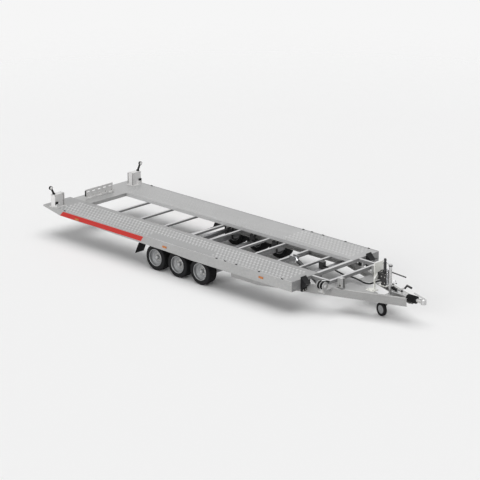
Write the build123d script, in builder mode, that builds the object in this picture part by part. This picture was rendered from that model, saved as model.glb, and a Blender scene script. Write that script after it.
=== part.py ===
from build123d import *
import math
import os

# Tilting car transporter trailer with three axles, in millimetres.
# +X points to the coupling, +Y to the left side, +Z up. The origin is on the floor, in the middle
# of the overall length and width. Setbacks run back from the bed's front edge, reaches run ahead.

# ---------------------------------------------------------------- driving dimensions
# Platform (the tilting bed)
bed_length = 6000  # front edge to the tip of the tail
bed_width = 2140
deck_height = 564  # top of the runways above the floor
runway_width = 640
runway_sheet = 5
runway_depth = 60  # flanges below the top of the sheet
outer_flange_inset = 30  # the outer flange stands this far inside the side panel
side_depth_front = 169  # side panel below the deck, at the front
side_depth_rear = 109  # and where the tail ramp starts
side_sheet = 4
tail_ramp_length = 440  # underside that lies flat on the ground when tilted
tail_tip_depth = 24
wheel_cut_start = 2300  # where the panel steps up over the wheels
wheel_cut_run = 350
wheel_cut_rise = 16
beam_depth = 34
beam_width = 44
beam_gap = 0.5  # cross beams end this far from the side panels
cross_beam_setbacks = (533, 1007, 1529, 1907, 2580, 2995, 3690, 4295, 4900)
front_tube = 60
front_plate_inner = 660  # the deep end plates of the front beam start here
front_plate_sheet = 6
lashing_slot_length = 80
lashing_slot_height = 32
lashing_slot_inset = 75  # slot centre from the side panel
lashing_slot_rise = 55  # slot centre above the plate's lower edge
nose_reach = 395  # front face of the nose bar ahead of the bed
nose_tube = 46
nose_half_width = 600
rear_deck_length = 465
rear_deck_setback = 90  # the tail edge of the cross deck, from the tip
rear_lip_sheet = 6

# Equipment on the bed
lamp_edge_gap = 16  # lamp housings stand this far inside the side panels
lamp_width = 200
lamp_length = 110
lamp_height = 230
lamp_corner = 12
lamp_tail_gap = 185  # tail tip to the back of the housing
lamp_base_lip = 14  # base plate around the lamp, let into the runway
lamp_base_gap = 1
guard_plate_gap = 20  # slot between the housing and its inner guard plate
guard_plate_sheet = 8
connector_width = 90
connector_height = 62
connector_depth = 34
arm_radius = 18
arm_foot_radius = 27
arm_foot_height = 22
arm_length = 128
arm_lean = 27  # outward lean in degrees
arm_head_radius = 34
arm_head_depth = 30
arm_edge_gap = 44  # arm foot inside the side panel
bracket_half_width = 330
bracket_height = 171
bracket_sheet = 4
bracket_tail_gap = 300
bracket_slots = 5
bracket_slot_length = 70
bracket_slot_height = 16
bracket_slot_drop = 48  # slots below the plate's top edge
bracket_hole_drop = 51  # holes below the slots
bracket_hole_radius = 9
bracket_rib_depth = 26
bracket_lamp_pitch = 250
bracket_lamp_width = 60
bracket_lamp_height = 22
bracket_lamp_depth = 16
chock_inset = 270  # middle of the chock inside the side panel's face
chock_width = 120
chock_rise = 36  # above the deck
chock_height = 245
chock_depth = 112
chock_nose_drop = 95  # the nose's top edge below the chock's top
chock_nose_land = 14
chock_edge = 12  # thickness at the top
chock_hollow = 7  # how far the upper tyre face curves inwards
chock_knee_drop = 185  # where the lower face ends, below the chock's top
chock_foot_depth = 34
marker_setbacks = (670, 2900, 5100)
marker_length = 96
marker_height = 34
marker_depth = 10
marker_drop = 82
stripe_top = (5470, 3420)  # setbacks of the red film's corners
stripe_bottom = (5560, 3480)
stripe_drop = 19
stripe_film = 1

# Tilt pivot
pivot_setback = 3220
pivot_drop = 164  # below the deck
pivot_radius = 20
lug_wall = 18
lug_sheet = 14
lug_pad_width = 160
lug_pad_shift = 16  # pad's middle inside the lug's outer face
rail_end_beyond_pivot = 50

# Running gear
tyre_diameter = 449
tyre_width = 195
tyre_inset = 22  # tyres' outer faces inside the side panels
rim_diameter = 292
tyre_sides = 48
bead_inset = 12
sidewall_lip = 26
sidewall_curve = 4
shoulder_drop = 9
shoulder_width = 16
rim_sheet = 5
rim_disc_sheet = 7
rim_disc_reach = 34  # disc's outboard face from the middle of the tyre
rim_dish_depth = 12  # how far the middle of the disc is pressed in
rim_ridge = 6  # pressed ridge around the disc
rim_fillet_run = 14  # bands of the disc, inwards from the barrel
rim_ridge_run = 28
rim_flat_run = 48
rim_dish_run = 60
hub_cap_length = 31  # beyond the disc's outboard face
hub_cap_bevel = 8
axle_setbacks = (2097, 2629, 3161)
axle_names = ("front", "middle", "rear")
axle_tube = 80
axle_tube_corner = 14
axle_tube_lead = 150  # torsion tube ahead of the hubs
axle_tube_drop = 44  # middle of the torsion tube below the chassis beams
arm_thickness = 26
arm_half_height = 34
stub_radius = 22
stub_end = 44  # past the middle of the tyre
hub_radius = 40
hub_cap_radius = 33
drum_radius = 106
drum_wall = 6
drum_depth = 44
backplate_sheet = 4
backplate_radius = 114
bearing_clearance = 0.05
moving_gap = 6
axle_bracket_width = 120
axle_bracket_reach = 115  # inwards from the chassis beams
axle_bracket_sheet = 30
axle_bracket_drop = 13  # below the top of the chassis beams
mudguard_sheet = 4
mudguard_front_reach = 400  # lip ahead of the front tyre
mudguard_bend_reach = 72
mudguard_lip_drop = 76
mudguard_knee = (155, 55)  # bend of the rear end, back from the top and down
mudguard_flap = (250, 262)  # lower edge of the rear flap

# Chassis
rail_clearance = 58  # chassis beams to the tyres
rail_flange = 60
rail_wall = 5
chassis_drop = 280  # underside of the chassis beams, below the deck
rail_depth = 129
outrigger_inset = 100  # outriggers inside the side panels' faces
outrigger_rear = 1440
cross_width = 60
cross_height = 60
cross_member_setbacks = (1300, 3120)
drawbar_tip = 1550
drawbar_tip_outer = 90
drawbar_angle = 20.1
gusset_sheet = 6
gusset_rear = 400
gusset_front = 1050
gusset_rear_half = 80
gusset_front_half = 190
gusset_lap = 20
rest_block_side = 44

# Tilt cylinder, at rest
cylinder_bed_setback = 900
cylinder_bed_drop = 74  # below the deck
cylinder_foot_setback = 360
cylinder_foot_drop = 124  # below the chassis beams
foot_member_setback = 390  # centre of the cross member over the cylinder's foot
valve_side = 90
valve_height = 120
valve_offset = 100  # oil valve block to the left of the middle
barrel_radius = 36
rod_radius = 20
rod_showing = 40
cylinder_eye_radius = 28
cylinder_eye_width = 36
cylinder_pin_radius = 10
cylinder_ear_sheet = 10
cylinder_ear_half = 30
cylinder_bore_start = 58
cylinder_pin_stub = 6
rod_eye_gap = 4  # the rod's eye is wider than its pin
bed_ear_height = 90

# Coupling and drawbar equipment
coupler_rise = 121  # coupler's axis above the underside of the chassis beams
coupler_tip = 1870
ball_radius = 25
coupler_head_radius = 43
coupler_skirt = 38  # the head reaches this far below the coupler's axis
coupler_cap = 50
coupler_socket_depth = 56
coupler_neck_radius = 34
housing_half = 45
housing_behind_jockey = 60
housing_corner = 12
drawtube_overlap = 120
drawtube_gap = 0.5
gaiter_start = 1506
gaiter_end = 1709
gaiter_radius = 62
gaiter_fold_depth = 12
gaiter_fold_pitch = 18
handle_width = 16
handle_half = 14
handle_knee = (70, 22)  # back from the head, up from its top
handle_end = (196, 56)
handbrake_lead = 100  # lever root ahead of the jockey post
handbrake_width = 22
handbrake_half = 7
lever_foot_length = 70
lever_elbow = (200, 88)  # ahead of the lever's foot and up from the housing
grip_knee = (244, 148)
grip_end = (338, 128)
grip_width = 24
grip_half = 11
jockey_reach = 1140
jockey_tube_radius = 25
jockey_tube_wall = 4.5
jockey_top_rise = 447  # above the chassis beams
jockey_lift = 50  # how far the leg can still be wound up
jockey_stem_length = 420
jockey_clamp_length = 110
jockey_clamp_rise = 25
jockey_clamp_height = 60
jockey_cap_lip = 3
jockey_cap_height = 12
jockey_wheel_radius = 109
jockey_wheel_width = 44
jockey_rim_radius = 70
jockey_rim_inset = 4
jockey_sides = 32
jockey_axle_radius = 6
jockey_trail = 86
jockey_offset = 95  # middle of the wheel to the right of the post
jockey_turn = -12  # how far the wheel stands turned, in degrees
fork_arm_sheet = 10
fork_plate = 10
fork_leg_half = 16
tower_behind_pump = 136
tower_half = 110
tower_leg = 28
tower_sheet = 12
tower_height = 437  # above the chassis beams
tower_window_height = 147
tower_foot_length = 160
tower_foot_width = 120
tower_foot_sheet = 10
pump_behind_jockey = 114
pump_body_length = 100
pump_body_width = 90
pump_body_rise = 81  # above the foot of the tower
pump_body_corner = 14
pump_body_height = 190
pump_valve_radius = 24
pump_valve_height = 190
pump_knob_radius = 18
pump_knob_height = 60
pump_mount_width = 60
pump_mount_height = 115
port_radius = 17  # hose port on the back of the pump
port_length = 30
port_rise = 60
port_droop = 20
pump_lever_radius = 10
pump_lever_length = 390
pump_lever_rise = 37  # above the pump's body
pump_lever_droop = 3.3
pump_lever_gap = 13  # to the jockey post
hose_radius = 13
drum_reach = 300
drum_length = 130
drum_coil_radius = 58
drum_flange_radius = 70
drum_flange = 10
drum_overhang = 130  # drum's axis outside the beam
drum_height = 72  # drum's axis above the beam
drum_foot_depth = 50
drum_web = 40
catch_reach = 476
catch_length = 116
catch_height = 165
catch_width = 60
catch_sheet = 8
catch_hole_radius = 18
catch_hole_rise = 45

# ---------------------------------------------------------------- derived positions
overall_length = bed_length + coupler_tip
bed_front = overall_length / 2 - coupler_tip
half_width = bed_width / 2
deck_bottom = deck_height - runway_depth
beam_bottom = deck_bottom - beam_depth
panel_inner = half_width - side_sheet
runway_inner = half_width - runway_width
panel_bottom = deck_height - side_depth_front
wheel_radius = tyre_diameter / 2
tyre_outer_face = half_width - tyre_inset
tyre_middle = tyre_outer_face - tyre_width / 2
tyre_inner_face = tyre_outer_face - tyre_width
rail_bottom = deck_height - chassis_drop
rail_top = rail_bottom + rail_depth
rail_outer = tyre_inner_face - rail_clearance
rail_inner = rail_outer - rail_flange
pivot_height = deck_height - pivot_drop
axle_tube_height = rail_bottom - axle_tube_drop
axle_bracket_inner = rail_inner - axle_bracket_reach
coupler_height = rail_bottom + coupler_rise
jockey_top = rail_top + jockey_top_rise
chock_centre = half_width - chock_inset
tail_x = bed_front - bed_length
ramp_x = tail_x + tail_ramp_length
axle_xs = [bed_front - setback for setback in axle_setbacks]
pivot_x = bed_front - pivot_setback
rail_end = pivot_x - rail_end_beyond_pivot
drawbar_slope = math.tan(math.radians(drawbar_angle))
drawbar_cos = math.cos(math.radians(drawbar_angle))
tip_x = bed_front + drawbar_tip
corner_x = tip_x - (rail_outer - drawbar_tip_outer) / drawbar_slope
jockey_x = bed_front + jockey_reach
housing_rear = jockey_x + housing_behind_jockey
housing_front = bed_front + gaiter_start
head_x = bed_front + coupler_tip - coupler_head_radius
lamp_x = tail_x + lamp_tail_gap + lamp_length / 2
lamp_y = panel_inner - lamp_edge_gap - lamp_width / 2
guard_y = lamp_y - lamp_width / 2 - guard_plate_gap - guard_plate_sheet / 2
base_inner = guard_y - guard_plate_sheet / 2 - lamp_base_lip
base_length = lamp_length + 2 * (connector_depth + lamp_base_lip)
foot = Vector(bed_front - cylinder_foot_setback, 0, rail_bottom - cylinder_foot_drop)
eye = Vector(bed_front - cylinder_bed_setback, 0, deck_height - cylinder_bed_drop)
cylinder_length = (eye - foot).length
along = (eye - foot).normalized()
ear_inner = barrel_radius + moving_gap
ear_outer = ear_inner + cylinder_ear_sheet
SIDES = (("left", 1), ("right", -1))

os.makedirs("parts", exist_ok=True)


def keep(builder, name):
    """Label a finished piece and write it out."""
    builder.part.label = name
    export_step(builder.part, f"parts/{name}.step")


def upright(y):
    """Plane facing +Y at that distance from the middle: sketch x is +X, sketch y is +Z."""
    return Plane(origin=(0, y, 0), x_dir=(1, 0, 0), z_dir=(0, -1, 0))


def facing_front(x):
    """Plane facing +X: sketch x is +Y, sketch y is +Z."""
    return Plane(origin=(x, 0, 0), x_dir=(0, 1, 0), z_dir=(1, 0, 0))


def outrigger_line(inset):
    """Plan points of a line inside an outrigger's outer side, root to tail, for +Y."""
    half_turn = math.radians(drawbar_angle) / 2
    outer = half_width - outrigger_inset
    root = tip_x - (rail_outer + inset / drawbar_cos - drawbar_tip_outer) / drawbar_slope
    bend = tip_x - (outer - drawbar_tip_outer) / drawbar_slope
    end = bed_front - outrigger_rear + inset
    return [
        (root, rail_outer),
        (bend - inset * math.tan(half_turn), outer - inset),
        (end, outer - inset),
        (end, rail_outer),
    ]


def beam_outer_at(reach):
    """Half width over the drawbar beams, that far ahead of the bed."""
    return drawbar_tip_outer + (drawbar_tip - reach) * drawbar_slope


def beam_inner_at(reach):
    """Half width between the drawbar beams, that far ahead of the bed."""
    return beam_outer_at(reach) - rail_flange / drawbar_cos


def drawbar_line(inset):
    """Plan points of a line running inside the chassis side, tip to tail, for +Y."""
    half_turn = math.radians(drawbar_angle) / 2
    return [
        (tip_x, drawbar_tip_outer - inset / drawbar_cos),
        (corner_x - inset * math.tan(half_turn), rail_outer - inset),
        (rail_end, rail_outer - inset),
    ]


def strip_sketch(outer_inset, inner_inset, sign):
    """Plan outline between two such lines, on the side that sign gives."""
    points = drawbar_line(outer_inset) + drawbar_line(inner_inset)[::-1]
    with BuildSketch() as outline:
        with BuildLine():
            Polyline([(x, sign * y) for x, y in points], close=True)
        make_face()
    return outline.sketch


# ---------------------------------------------------------------- platform
panel_outline = [
    (bed_front, deck_height),
    (bed_front, panel_bottom),
    (bed_front - wheel_cut_start, panel_bottom),
    (bed_front - wheel_cut_start - wheel_cut_run, panel_bottom + wheel_cut_rise),
    (ramp_x, deck_height - side_depth_rear),
    (tail_x, deck_height - tail_tip_depth),
    (tail_x, deck_height),
]
for side, sign in SIDES:
    with BuildPart() as side_panel:
        with BuildSketch(upright(sign * (half_width - side_sheet / 2))):
            with BuildLine():
                Polyline(panel_outline, close=True)
            make_face()
        extrude(amount=side_sheet / 2, both=True)
    keep(side_panel, f"side_panel_{side}")

    with BuildPart() as runway:
        centre_y = sign * (panel_inner + runway_inner) / 2
        width = panel_inner - runway_inner
        with BuildSketch(Plane.XY.offset(deck_height - runway_sheet)):
            with Locations(((tail_x + bed_front) / 2, centre_y)):
                Rectangle(bed_length, width)
            with Locations((lamp_x, sign * (panel_inner + base_inner) / 2)):
                Rectangle(
                    base_length + 2 * lamp_base_gap,
                    panel_inner - base_inner + 2 * lamp_base_gap,
                    mode=Mode.SUBTRACT,
                )
        extrude(amount=runway_sheet)
        flange_ys = [
            runway_inner + runway_sheet / 2,
            runway_inner + width / 2,
            panel_inner - outer_flange_inset,
        ]
        with BuildSketch(Plane.XY.offset(deck_bottom)):
            with Locations(*[((ramp_x + bed_front - front_tube) / 2, sign * y) for y in flange_ys]):
                Rectangle(bed_front - front_tube - ramp_x, runway_sheet)
        extrude(amount=runway_depth - runway_sheet)
    keep(runway, f"runway_{side}")

carrier_face = bed_front - cross_beam_setbacks[1] + beam_width / 2
pin_gap = cylinder_eye_width / 2 + moving_gap
pin_end = ear_outer + cylinder_pin_stub
with BuildPart() as cross_beams:
    with BuildSketch(Plane.XY.offset(beam_bottom)):
        with Locations(*[(bed_front - setback, 0) for setback in cross_beam_setbacks]):
            Rectangle(beam_width, 2 * (panel_inner - beam_gap))
    extrude(amount=beam_depth)
    # ears that reach forward from the second beam to the tilt cylinder's eye
    for sign in (1, -1):
        with BuildSketch(upright(sign * (ear_inner + ear_outer) / 2)):
            with Locations(((eye.X + cylinder_ear_half + carrier_face) / 2, eye.Z)):
                Rectangle(eye.X + cylinder_ear_half - carrier_face, bed_ear_height)
        extrude(amount=cylinder_ear_sheet / 2, both=True)
        with BuildSketch(upright(sign * (pin_end + pin_gap) / 2)):
            with Locations((eye.X, eye.Z)):
                Circle(cylinder_pin_radius)
        extrude(amount=(pin_end - pin_gap) / 2, both=True)
keep(cross_beams, "cross_beams")

with BuildPart() as front_beam:
    with BuildSketch(Plane.XY.offset(deck_bottom)):
        with Locations((bed_front - front_tube / 2, 0)):
            Rectangle(front_tube, 2 * panel_inner)
    extrude(amount=runway_depth - runway_sheet)
    plate_width = panel_inner - front_plate_inner
    with BuildSketch(facing_front(bed_front - front_plate_sheet)):
        for sign in (1, -1):
            with Locations((sign * (panel_inner - plate_width / 2), (panel_bottom + deck_bottom) / 2)):
                Rectangle(plate_width, deck_bottom - panel_bottom)
            with Locations((sign * (panel_inner - lashing_slot_inset), panel_bottom + lashing_slot_rise)):
                SlotOverall(lashing_slot_length, lashing_slot_height, mode=Mode.SUBTRACT)
    extrude(amount=front_plate_sheet)
keep(front_beam, "front_beam")

with BuildPart() as nose_frame:
    link_y = nose_half_width - nose_tube / 2
    with BuildSketch(Plane.XY.offset(deck_bottom)):
        with Locations((bed_front + nose_reach - nose_tube / 2, 0)):
            Rectangle(nose_tube, 2 * nose_half_width)
        with Locations(*[(bed_front + nose_reach / 2, sign * link_y) for sign in (1, -1)]):
            Rectangle(nose_reach, nose_tube)
    extrude(amount=runway_depth - runway_sheet)
keep(nose_frame, "nose_frame")

with BuildPart() as rear_deck:
    deck_start = tail_x + rear_deck_setback
    with BuildSketch(Plane.XY.offset(deck_height - runway_sheet)):
        with Locations((deck_start + rear_deck_length / 2, 0)):
            Rectangle(rear_deck_length, 2 * runway_inner)
    extrude(amount=runway_sheet)
    with BuildSketch(Plane.XY.offset(deck_bottom)):
        with Locations((deck_start + rear_deck_length - rear_lip_sheet / 2, 0)):
            Rectangle(rear_lip_sheet, 2 * runway_inner)
    extrude(amount=runway_depth - runway_sheet)
keep(rear_deck, "rear_deck")

with BuildPart() as plate_bracket:
    bracket_x = tail_x + bracket_tail_gap
    slot_pitch = 2 * bracket_half_width / bracket_slots
    slot_z = deck_height + bracket_height - bracket_slot_drop
    hole_z = slot_z - bracket_hole_drop
    with BuildSketch(facing_front(bracket_x)):
        with Locations((0, deck_height + bracket_height / 2)):
            Rectangle(2 * bracket_half_width, bracket_height)
        with Locations((0, slot_z)):
            with GridLocations(slot_pitch, 1, bracket_slots, 1):
                SlotOverall(bracket_slot_length, bracket_slot_height, mode=Mode.SUBTRACT)
        with Locations((0, hole_z)):
            with GridLocations(slot_pitch, 1, bracket_slots, 1):
                Circle(bracket_hole_radius, mode=Mode.SUBTRACT)
    extrude(amount=bracket_sheet)
    with BuildSketch(Plane.XY.offset(deck_height)):
        with Locations((bracket_x + bracket_sheet + bracket_rib_depth / 2, 0)):
            Rectangle(bracket_rib_depth, 2 * bracket_half_width)
    extrude(amount=bracket_rib_depth)
keep(plate_bracket, "plate_bracket")

with BuildPart() as plate_lamps:
    with BuildSketch(facing_front(bracket_x + bracket_sheet + bracket_rib_depth)):
        with Locations((0, deck_height + bracket_rib_depth / 2)):
            with GridLocations(bracket_lamp_pitch, 1, 3, 1):
                RectangleRounded(bracket_lamp_width, bracket_lamp_height, bracket_lamp_height / 4)
    extrude(amount=bracket_lamp_depth)
keep(plate_lamps, "plate_lamps")

with BuildPart() as lamp_housings:
    with BuildSketch(Plane.XY.offset(deck_height - runway_sheet)):
        with Locations(*[(lamp_x, sign * (panel_inner + base_inner) / 2) for sign in (1, -1)]):
            Rectangle(base_length, panel_inner - base_inner)
    extrude(amount=runway_sheet)
    with BuildSketch(Plane.XY.offset(deck_height)):
        with Locations(*[(lamp_x, sign * lamp_y) for sign in (1, -1)]):
            RectangleRounded(lamp_length, lamp_width, lamp_corner)
        with Locations(*[(lamp_x, sign * guard_y) for sign in (1, -1)]):
            Rectangle(lamp_length, guard_plate_sheet)
    extrude(amount=lamp_height)
    # spacer between the housing and its guard plate, and the plug socket on the front
    with BuildSketch(Plane.XY.offset(deck_height + lamp_height / 2)):
        with Locations(*[(lamp_x, sign * (guard_y + guard_plate_gap / 2)) for sign in (1, -1)]):
            Rectangle(lamp_length / 2, guard_plate_gap + guard_plate_sheet)
    extrude(amount=lamp_height / 4)
    socket_y = lamp_y + lamp_width / 2 - lamp_corner - connector_width / 2
    with BuildSketch(facing_front(lamp_x + lamp_length / 2)):
        with Locations(*[(sign * socket_y, deck_height + connector_height / 2) for sign in (1, -1)]):
            Rectangle(connector_width, connector_height)
    extrude(amount=connector_depth)
keep(lamp_housings, "lamp_housings")

with BuildPart() as lamp_arms:
    for sign in (1, -1):
        arm_foot = Vector(lamp_x, sign * (panel_inner - arm_edge_gap), deck_height + lamp_height)
        lean = math.radians(arm_lean)
        arm_dir = Vector(0, sign * math.sin(lean), math.cos(lean))
        with BuildSketch(Plane(origin=arm_foot, x_dir=(1, 0, 0), z_dir=(0, 0, 1))):
            Circle(arm_foot_radius)
        extrude(amount=arm_foot_height)
        arm_root = arm_foot + Vector(0, 0, arm_foot_height / 2)
        with BuildSketch(Plane(origin=arm_root, x_dir=(1, 0, 0), z_dir=arm_dir)):
            Circle(arm_radius)
        extrude(amount=arm_length)
        head = arm_foot + arm_dir * (arm_length + arm_head_radius / 2)
        with BuildSketch(Plane(origin=head, x_dir=(0, 1, 0), z_dir=(1, 0, 0))):
            Circle(arm_head_radius)
        extrude(amount=arm_head_depth / 2, both=True)
keep(lamp_arms, "lamp_arms")

with BuildPart() as wheel_chocks:
    chock_top = deck_height + chock_rise
    chock_foot = chock_top - chock_height
    nose_x = bed_front + chock_depth
    nose_top = chock_top - chock_nose_drop
    nose_bottom = nose_top - chock_nose_land
    edge_x = bed_front + chock_edge
    foot_x = bed_front + chock_foot_depth
    for sign in (1, -1):
        with BuildSketch(upright(sign * chock_centre)):
            with BuildLine():
                Line((bed_front, chock_foot), (bed_front, chock_top))
                Line((bed_front, chock_top), (edge_x, chock_top))
                SagittaArc((edge_x, chock_top), (nose_x, nose_top), -chock_hollow)
                Line((nose_x, nose_top), (nose_x, nose_bottom))
                Line((nose_x, nose_bottom), (foot_x, chock_top - chock_knee_drop))
                Line((foot_x, chock_top - chock_knee_drop), (foot_x, chock_foot))
                Line((foot_x, chock_foot), (bed_front, chock_foot))
            make_face()
        extrude(amount=chock_width / 2, both=True)
keep(wheel_chocks, "wheel_chocks")

with BuildPart() as bed_hinge_lugs:
    lug_radius = pivot_radius + lug_wall
    lug_outer = rail_inner - moving_gap
    for sign in (1, -1):
        with BuildSketch(upright(sign * (lug_outer - lug_sheet / 2))):
            with Locations((pivot_x, pivot_height)):
                Circle(lug_radius)
            with Locations((pivot_x, (pivot_height + beam_bottom) / 2)):
                Rectangle(2 * lug_radius, beam_bottom - pivot_height)
            with Locations((pivot_x, pivot_height)):
                Circle(pivot_radius + bearing_clearance, mode=Mode.SUBTRACT)
        extrude(amount=lug_sheet / 2, both=True)
        with BuildSketch(Plane.XY.offset(beam_bottom)):
            with Locations((pivot_x, sign * (lug_outer + lug_sheet - lug_pad_shift))):
                Rectangle(4 * lug_radius, lug_pad_width)
        extrude(amount=beam_depth)
keep(bed_hinge_lugs, "bed_hinge_lugs")

with BuildPart() as side_markers:
    for sign in (1, -1):
        with BuildSketch(upright(sign * (half_width + marker_depth / 2))):
            with Locations(*[(bed_front - s, deck_height - marker_drop) for s in marker_setbacks]):
                RectangleRounded(marker_length, marker_height, marker_height / 6)
        extrude(amount=marker_depth / 2, both=True)
keep(side_markers, "side_markers")

with BuildPart() as side_stripes:
    for sign in (1, -1):
        with BuildSketch(upright(sign * (half_width + stripe_film / 2))):
            with BuildLine():
                Polyline(
                    (bed_front - stripe_top[0], deck_height - stripe_drop),
                    (bed_front - stripe_top[1], deck_height - stripe_drop),
                    (bed_front - stripe_bottom[1], deck_height - side_depth_rear),
                    (bed_front - stripe_bottom[0], deck_height - side_depth_rear),
                    close=True,
                )
            make_face()
            with Locations((bed_front - marker_setbacks[-1], deck_height - marker_drop)):
                RectangleRounded(marker_length, marker_height, marker_height / 6, mode=Mode.SUBTRACT)
        extrude(amount=stripe_film / 2, both=True)
keep(side_stripes, "side_stripes")

# ---------------------------------------------------------------- chassis
for side, sign in SIDES:
    with BuildPart() as chassis_beam:
        with BuildSketch(Plane.XY.offset(rail_bottom)):
            add(strip_sketch(0, rail_flange, sign))
        extrude(amount=rail_depth)
        with BuildSketch(Plane.XY.offset(rail_bottom + rail_wall)):
            add(strip_sketch(rail_wall, rail_flange + rail_wall, sign))
        extrude(amount=rail_depth - 2 * rail_wall, mode=Mode.SUBTRACT)
        with BuildSketch(upright(0)):
            with Locations((pivot_x, pivot_height)):
                Circle(pivot_radius)
        extrude(amount=half_width, both=True, mode=Mode.SUBTRACT)
        with BuildSketch(Plane.XY.offset(rail_bottom)):
            with Locations((tip_x, 0)):
                Rectangle(2 * (tip_x - housing_rear), 2 * housing_half)
                Rectangle(2 * (tip_x - housing_front + moving_gap), 2 * (gaiter_radius + moving_gap))
        extrude(amount=rail_depth, mode=Mode.SUBTRACT)
    keep(chassis_beam, f"chassis_beam_{side}")

with BuildPart() as chassis_outriggers:
    for sign in (1, -1):
        for inset, next_inset, inside, mode in (
            (0, rail_flange, 0, Mode.ADD),
            (rail_wall, rail_flange + rail_wall, rail_wall, Mode.SUBTRACT),
        ):
            points = outrigger_line(inset) + outrigger_line(next_inset)[::-1]
            with BuildSketch(Plane.XY.offset(rail_bottom + inside)):
                with BuildLine():
                    Polyline([(x, sign * y) for x, y in points], close=True)
                make_face()
            extrude(amount=rail_depth - 2 * inside, mode=mode)
keep(chassis_outriggers, "chassis_outriggers")

with BuildPart() as tilt_shaft:
    with BuildSketch(upright(0)):
        with Locations((pivot_x, pivot_height)):
            Circle(pivot_radius)
    extrude(amount=rail_outer, both=True)
keep(tilt_shaft, "tilt_shaft")

cross_bottom = rail_bottom + rail_wall
with BuildPart() as chassis_cross_members:
    foot_member_x = bed_front - foot_member_setback
    foot_member_bottom = rail_top - cross_height
    member_xs = [bed_front - setback for setback in cross_member_setbacks]
    with BuildSketch(Plane.XY.offset(rail_bottom + rail_wall)):
        with Locations(*[(x, 0) for x in member_xs]):
            Rectangle(cross_width, 2 * (rail_outer - rail_wall))
    extrude(amount=cross_height)
    front_half_length = min(beam_inner_at(cross_width / 2 - foot_member_setback), rail_inner)
    with BuildSketch(Plane.XY.offset(foot_member_bottom)):
        with Locations((foot_member_x, 0)):
            Rectangle(cross_width, 2 * front_half_length)
    extrude(amount=cross_height)
    # ears that carry the tilt cylinder's foot pin
    for sign in (1, -1):
        with BuildSketch(upright(sign * (ear_inner + ear_outer) / 2)):
            with BuildLine():
                Polyline(
                    (foot.X - cylinder_ear_half, foot.Z),
                    (foot.X + cylinder_ear_half, foot.Z),
                    (foot_member_x + cross_width / 2, foot_member_bottom),
                    (foot_member_x - cross_width / 2, foot_member_bottom),
                    close=True,
                )
            make_face()
            with Locations((foot.X, foot.Z)):
                Circle(cylinder_ear_half)
        extrude(amount=cylinder_ear_sheet / 2, both=True)
    with BuildSketch(upright(0)):
        with Locations((foot.X, foot.Z)):
            Circle(cylinder_pin_radius)
    extrude(amount=pin_end, both=True)
keep(chassis_cross_members, "chassis_cross_members")

with BuildPart() as oil_valve:
    with BuildSketch(Plane.XY.offset(rail_top)):
        with Locations((foot_member_x, valve_offset)):
            RectangleRounded(valve_side, valve_side, valve_side / 9)
    extrude(amount=valve_height)
keep(oil_valve, "oil_valve")

with BuildPart() as tongue_gussets:
    for sign in (1, -1):
        with BuildSketch(Plane.XY.offset(rail_top)):
            with BuildLine():
                Polyline(
                    (bed_front + gusset_rear, sign * gusset_rear_half),
                    (bed_front + gusset_front, sign * gusset_front_half),
                    (bed_front + gusset_front, sign * (beam_inner_at(gusset_front) + gusset_lap)),
                    (bed_front + gusset_rear, sign * (beam_inner_at(gusset_rear) + gusset_lap)),
                    close=True,
                )
            make_face()
        extrude(amount=gusset_sheet)
keep(tongue_gussets, "tongue_gussets")

with BuildPart() as rest_blocks:
    rest_reach = -front_tube / 2 - front_plate_sheet
    rest_y = (beam_outer_at(rest_reach) + beam_inner_at(rest_reach)) / 2
    with BuildSketch(Plane.XY.offset(rail_top)):
        with Locations(*[(bed_front + rest_reach, sign * rest_y) for sign in (1, -1)]):
            Rectangle(rest_block_side, rest_block_side)
    extrude(amount=deck_bottom - rail_top)
keep(rest_blocks, "rest_blocks")

arm_outer = tyre_inner_face - moving_gap
arm_inner = arm_outer - arm_thickness
drum_mouth = tyre_middle - drum_depth
with BuildPart() as axles:
    for axle_x in axle_xs:
        tube_x = axle_x + axle_tube_lead
        with BuildSketch(upright(0)):
            with Locations((tube_x, axle_tube_height)):
                RectangleRounded(axle_tube, axle_tube, axle_tube_corner)
        extrude(amount=arm_outer, both=True)
        for sign in (1, -1):
            with BuildSketch(upright(sign * (arm_inner + arm_thickness / 2))):
                with BuildLine():
                    Polyline(
                        (tube_x, axle_tube_height - arm_half_height),
                        (tube_x, axle_tube_height + arm_half_height),
                        (axle_x, wheel_radius + arm_half_height),
                        (axle_x, wheel_radius - arm_half_height),
                        close=True,
                    )
                make_face()
                with Locations((axle_x, wheel_radius)):
                    Circle(arm_half_height)
            extrude(amount=arm_thickness / 2, both=True)
            stub_tip = tyre_middle + stub_end
            with BuildSketch(upright(sign * (arm_outer + stub_tip) / 2)):
                with Locations((axle_x, wheel_radius)):
                    Circle(stub_radius)
            extrude(amount=(stub_tip - arm_outer) / 2, both=True)
            backplate_y = drum_mouth - moving_gap - backplate_sheet / 2
            with BuildSketch(upright(sign * backplate_y)):
                with Locations((axle_x, wheel_radius)):
                    Circle(backplate_radius)
            extrude(amount=backplate_sheet / 2, both=True)
keep(axles, "axles")

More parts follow.
